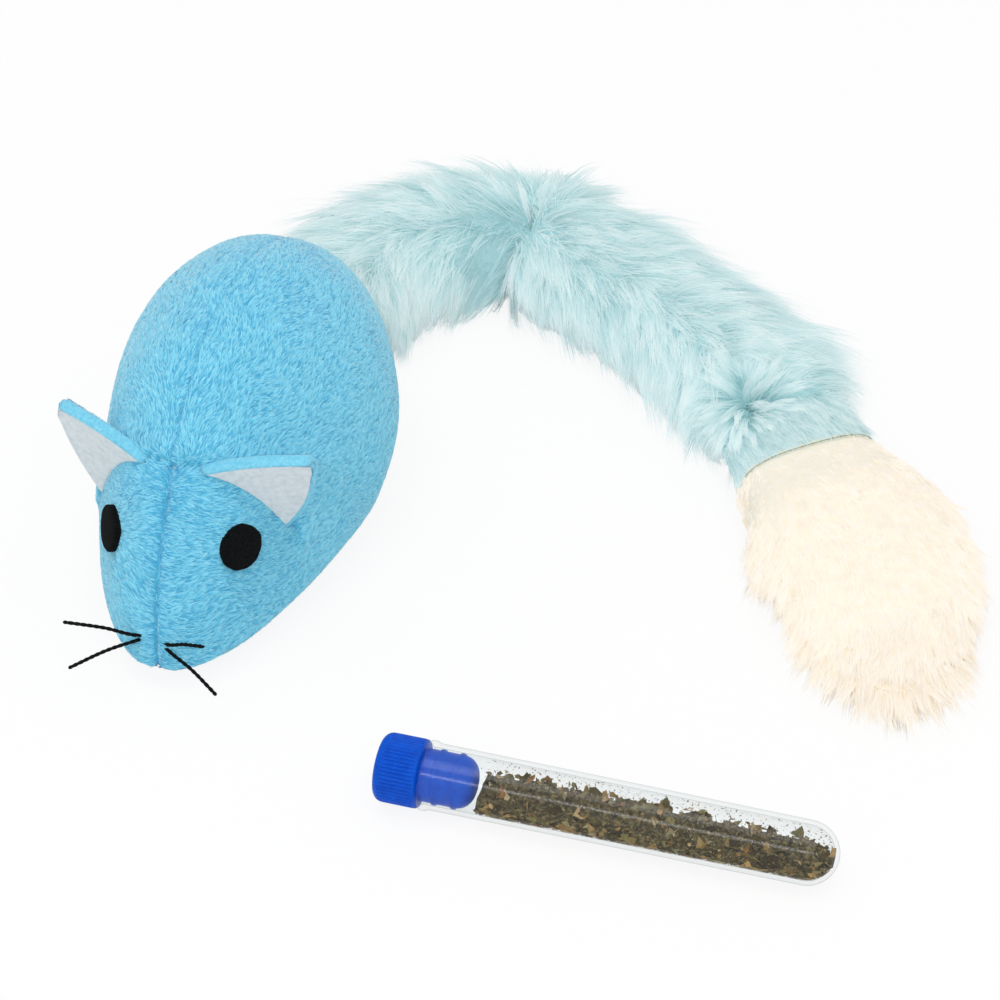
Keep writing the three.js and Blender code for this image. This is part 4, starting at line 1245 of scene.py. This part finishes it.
def leaf_flakes(name, count, low, high, heap):
    """Crumbled leaf: small bent scraps lying on the bed, against the wall and on each other."""
    x = rng.uniform(LEAF_FROM, LEAF_TO, count)
    turn = rng.uniform(0, 2 * math.pi, count)
    radius = bore_at(x) - rng.uniform(0.1, 0.5, count)
    radius = np.where(rng.random(count) < 0.35, radius * rng.random(count) ** 0.5, radius)
    centre = np.stack([x, VIAL_Y + radius * np.cos(turn), VIAL_Z + radius * np.sin(turn)], axis=-1)
    over = centre[:, 2] - leaf_top(centre[:, 0], centre[:, 1])
    keep = over < heap * rng.random(count) ** 2
    centre = centre[keep]
    count = len(centre)
    away = unit(centre - np.stack([centre[:, 0], np.full(count, VIAL_Y), np.full(count, VIAL_Z)], axis=-1))
    facing = unit(away + rng.normal(0, 0.5, (count, 3)))
    first = unit(np.cross(facing, rng.normal(0, 1, (count, 3))))
    second = np.cross(facing, first)
    size = rng.uniform(low, high, count) * rng.uniform(0.5, 1, count)
    corners = 6
    step = (np.arange(corners) + rng.uniform(-0.3, 0.3, (count, corners))) * 2 * math.pi / corners
    reach = size[:, None] * rng.uniform(0.55, 1.15, (count, corners))
    slim = rng.uniform(0.35, 0.9, (count, 1))
    rim = centre[:, None] + first[:, None] * (reach * np.cos(step))[..., None]
    rim = rim + second[:, None] * (reach * slim * np.sin(step))[..., None]
    curl = 0.35 * size[:, None] * rng.normal(0, 1, (count, corners))
    points = np.concatenate([centre[:, None], rim + facing[:, None] * curl[..., None]], axis=1)
    across = points[..., 1:] - np.array([VIAL_Y, VIAL_Z])
    far = np.linalg.norm(across, axis=-1, keepdims=True)
    most = np.maximum(bore_at(np.clip(points[..., 0], LEAF_FROM, LEAF_TO)) - 0.1, 0.2)[..., None]
    points[..., 1:] = np.array([VIAL_Y, VIAL_Z]) + across * np.minimum(1, most / np.maximum(far, 1e-6))
    points[..., 0] = np.clip(points[..., 0], LEAF_FROM - 0.4, LEAF_TO + 0.3)
    around = np.arange(corners)
    one = np.stack([np.zeros(corners, int), 1 + around, 1 + (around + 1) % corners], axis=1).ravel()
    faces = (one[None] + np.arange(count)[:, None] * (corners + 1)).ravel()
    tint = rng.uniform(0.03, 0.97, (count, 1)) + 0.01 * np.cos(np.arange(corners + 1))
    uv = np.stack([tint, rng.uniform(0, 1, (count, corners + 1))], axis=-1).reshape(-1, 2)
    sizes = np.full(count * corners, 3)
    return mesh_piece(name, points.reshape(-1, 3), faces, sizes, leaf_flake, uv, smooth=False)


rides(leaf_bed(), "vial", "herb", "vial_catnip")
for name, count, low, high, heap in (
    ("catnip_leaves", 1000, 1.3, 3.2, 1.8),
    ("catnip_flakes", 2400, 0.4, 1.6, 2.2),
    ("catnip_crumbs", 6000, 0.08, 0.3, 11.0),
):
    rides(leaf_flakes(name, count, low, high, heap), "vial", "herb")


# Floor, light and camera

FLOOR_HALF = 1500.0


def maths(tree, operation, a, b):
    return node(tree, "ShaderNodeMath", {0: a, 1: b}, operation=operation).outputs["Value"]


def white_when_seen(tree, lit, strength):
    """White where the camera or a reflection looks at it, and the given light for everything else."""
    rays = node(tree, "ShaderNodeLightPath").outputs
    seen = maths(tree, "MAXIMUM", rays["Is Camera Ray"], rays["Is Glossy Ray"])
    seen = maths(tree, "MAXIMUM", seen, rays["Is Transmission Ray"])
    share = maths(tree, "MULTIPLY", seen, strength)
    glow = node(tree, "ShaderNodeEmission", {"Color": grey(1.0), "Strength": 1.0}).outputs["Emission"]
    return node(tree, "ShaderNodeMixShader", {0: share, 1: lit, 2: glow}).outputs["Shader"]


def floor():
    made, tree, surface = bare_material("floor")
    lit = node(tree, "ShaderNodeBsdfDiffuse", {"Color": grey(0.97)}).outputs["BSDF"]
    tree.links.new(white_when_seen(tree, lit, 0.88), surface)
    corners = FLOOR_HALF * np.array([(-1, -1, 0), (1, -1, 0), (1, 1, 0), (-1, 1, 0)])
    piece = mesh_piece("floor", corners, np.arange(4), np.array([4]), made)
    piece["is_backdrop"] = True


def world():
    made = bpy.data.worlds.new("studio")
    made.use_nodes = True
    bpy.context.scene.world = made
    tree = made.node_tree
    lit = tree.nodes["Background"]
    lit.inputs["Color"].default_value = grey(1.0)
    lit.inputs["Strength"].default_value = 0.61
    shown = white_when_seen(tree, lit.outputs["Background"], 1.0)
    tree.links.new(shown, tree.nodes["World Output"].inputs["Surface"])


def aimed(data, name, place, target):
    piece = bpy.data.objects.new(name, data)
    bpy.context.scene.collection.objects.link(piece)
    piece.location = Vector(place)
    piece.rotation_euler = (Vector(target) - Vector(place)).to_track_quat("-Z", "Y").to_euler()
    return piece


def soft_light(name, place, size, power):
    lamp = bpy.data.lights.new(name, "AREA")
    lamp.shape = "RECTANGLE"
    lamp.size, lamp.size_y = size
    lamp.energy = power
    aimed(lamp, name, place, LOOK_AT)


# In metres
LOOK_AT = np.array([0.04625, 0.02357, 0.0])
TO_CAMERA, CAMERA_DISTANCE = np.array([0.2111, -0.7364, 0.6428]), 0.641
camera = bpy.data.cameras.new("camera")
camera.sensor_width = 36
camera.lens = 115.9
bpy.context.scene.camera = aimed(camera, "camera", LOOK_AT + TO_CAMERA * CAMERA_DISTANCE, LOOK_AT)
bpy.context.scene.view_settings.view_transform = "Standard"
floor()
world()
soft_light("key", (0.05, -0.1, 1.02), (1.3, 0.5), 3.6)
soft_light("strip", (0.12, -0.86, 0.84), (1.2, 0.16), 2.6)

low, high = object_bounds()
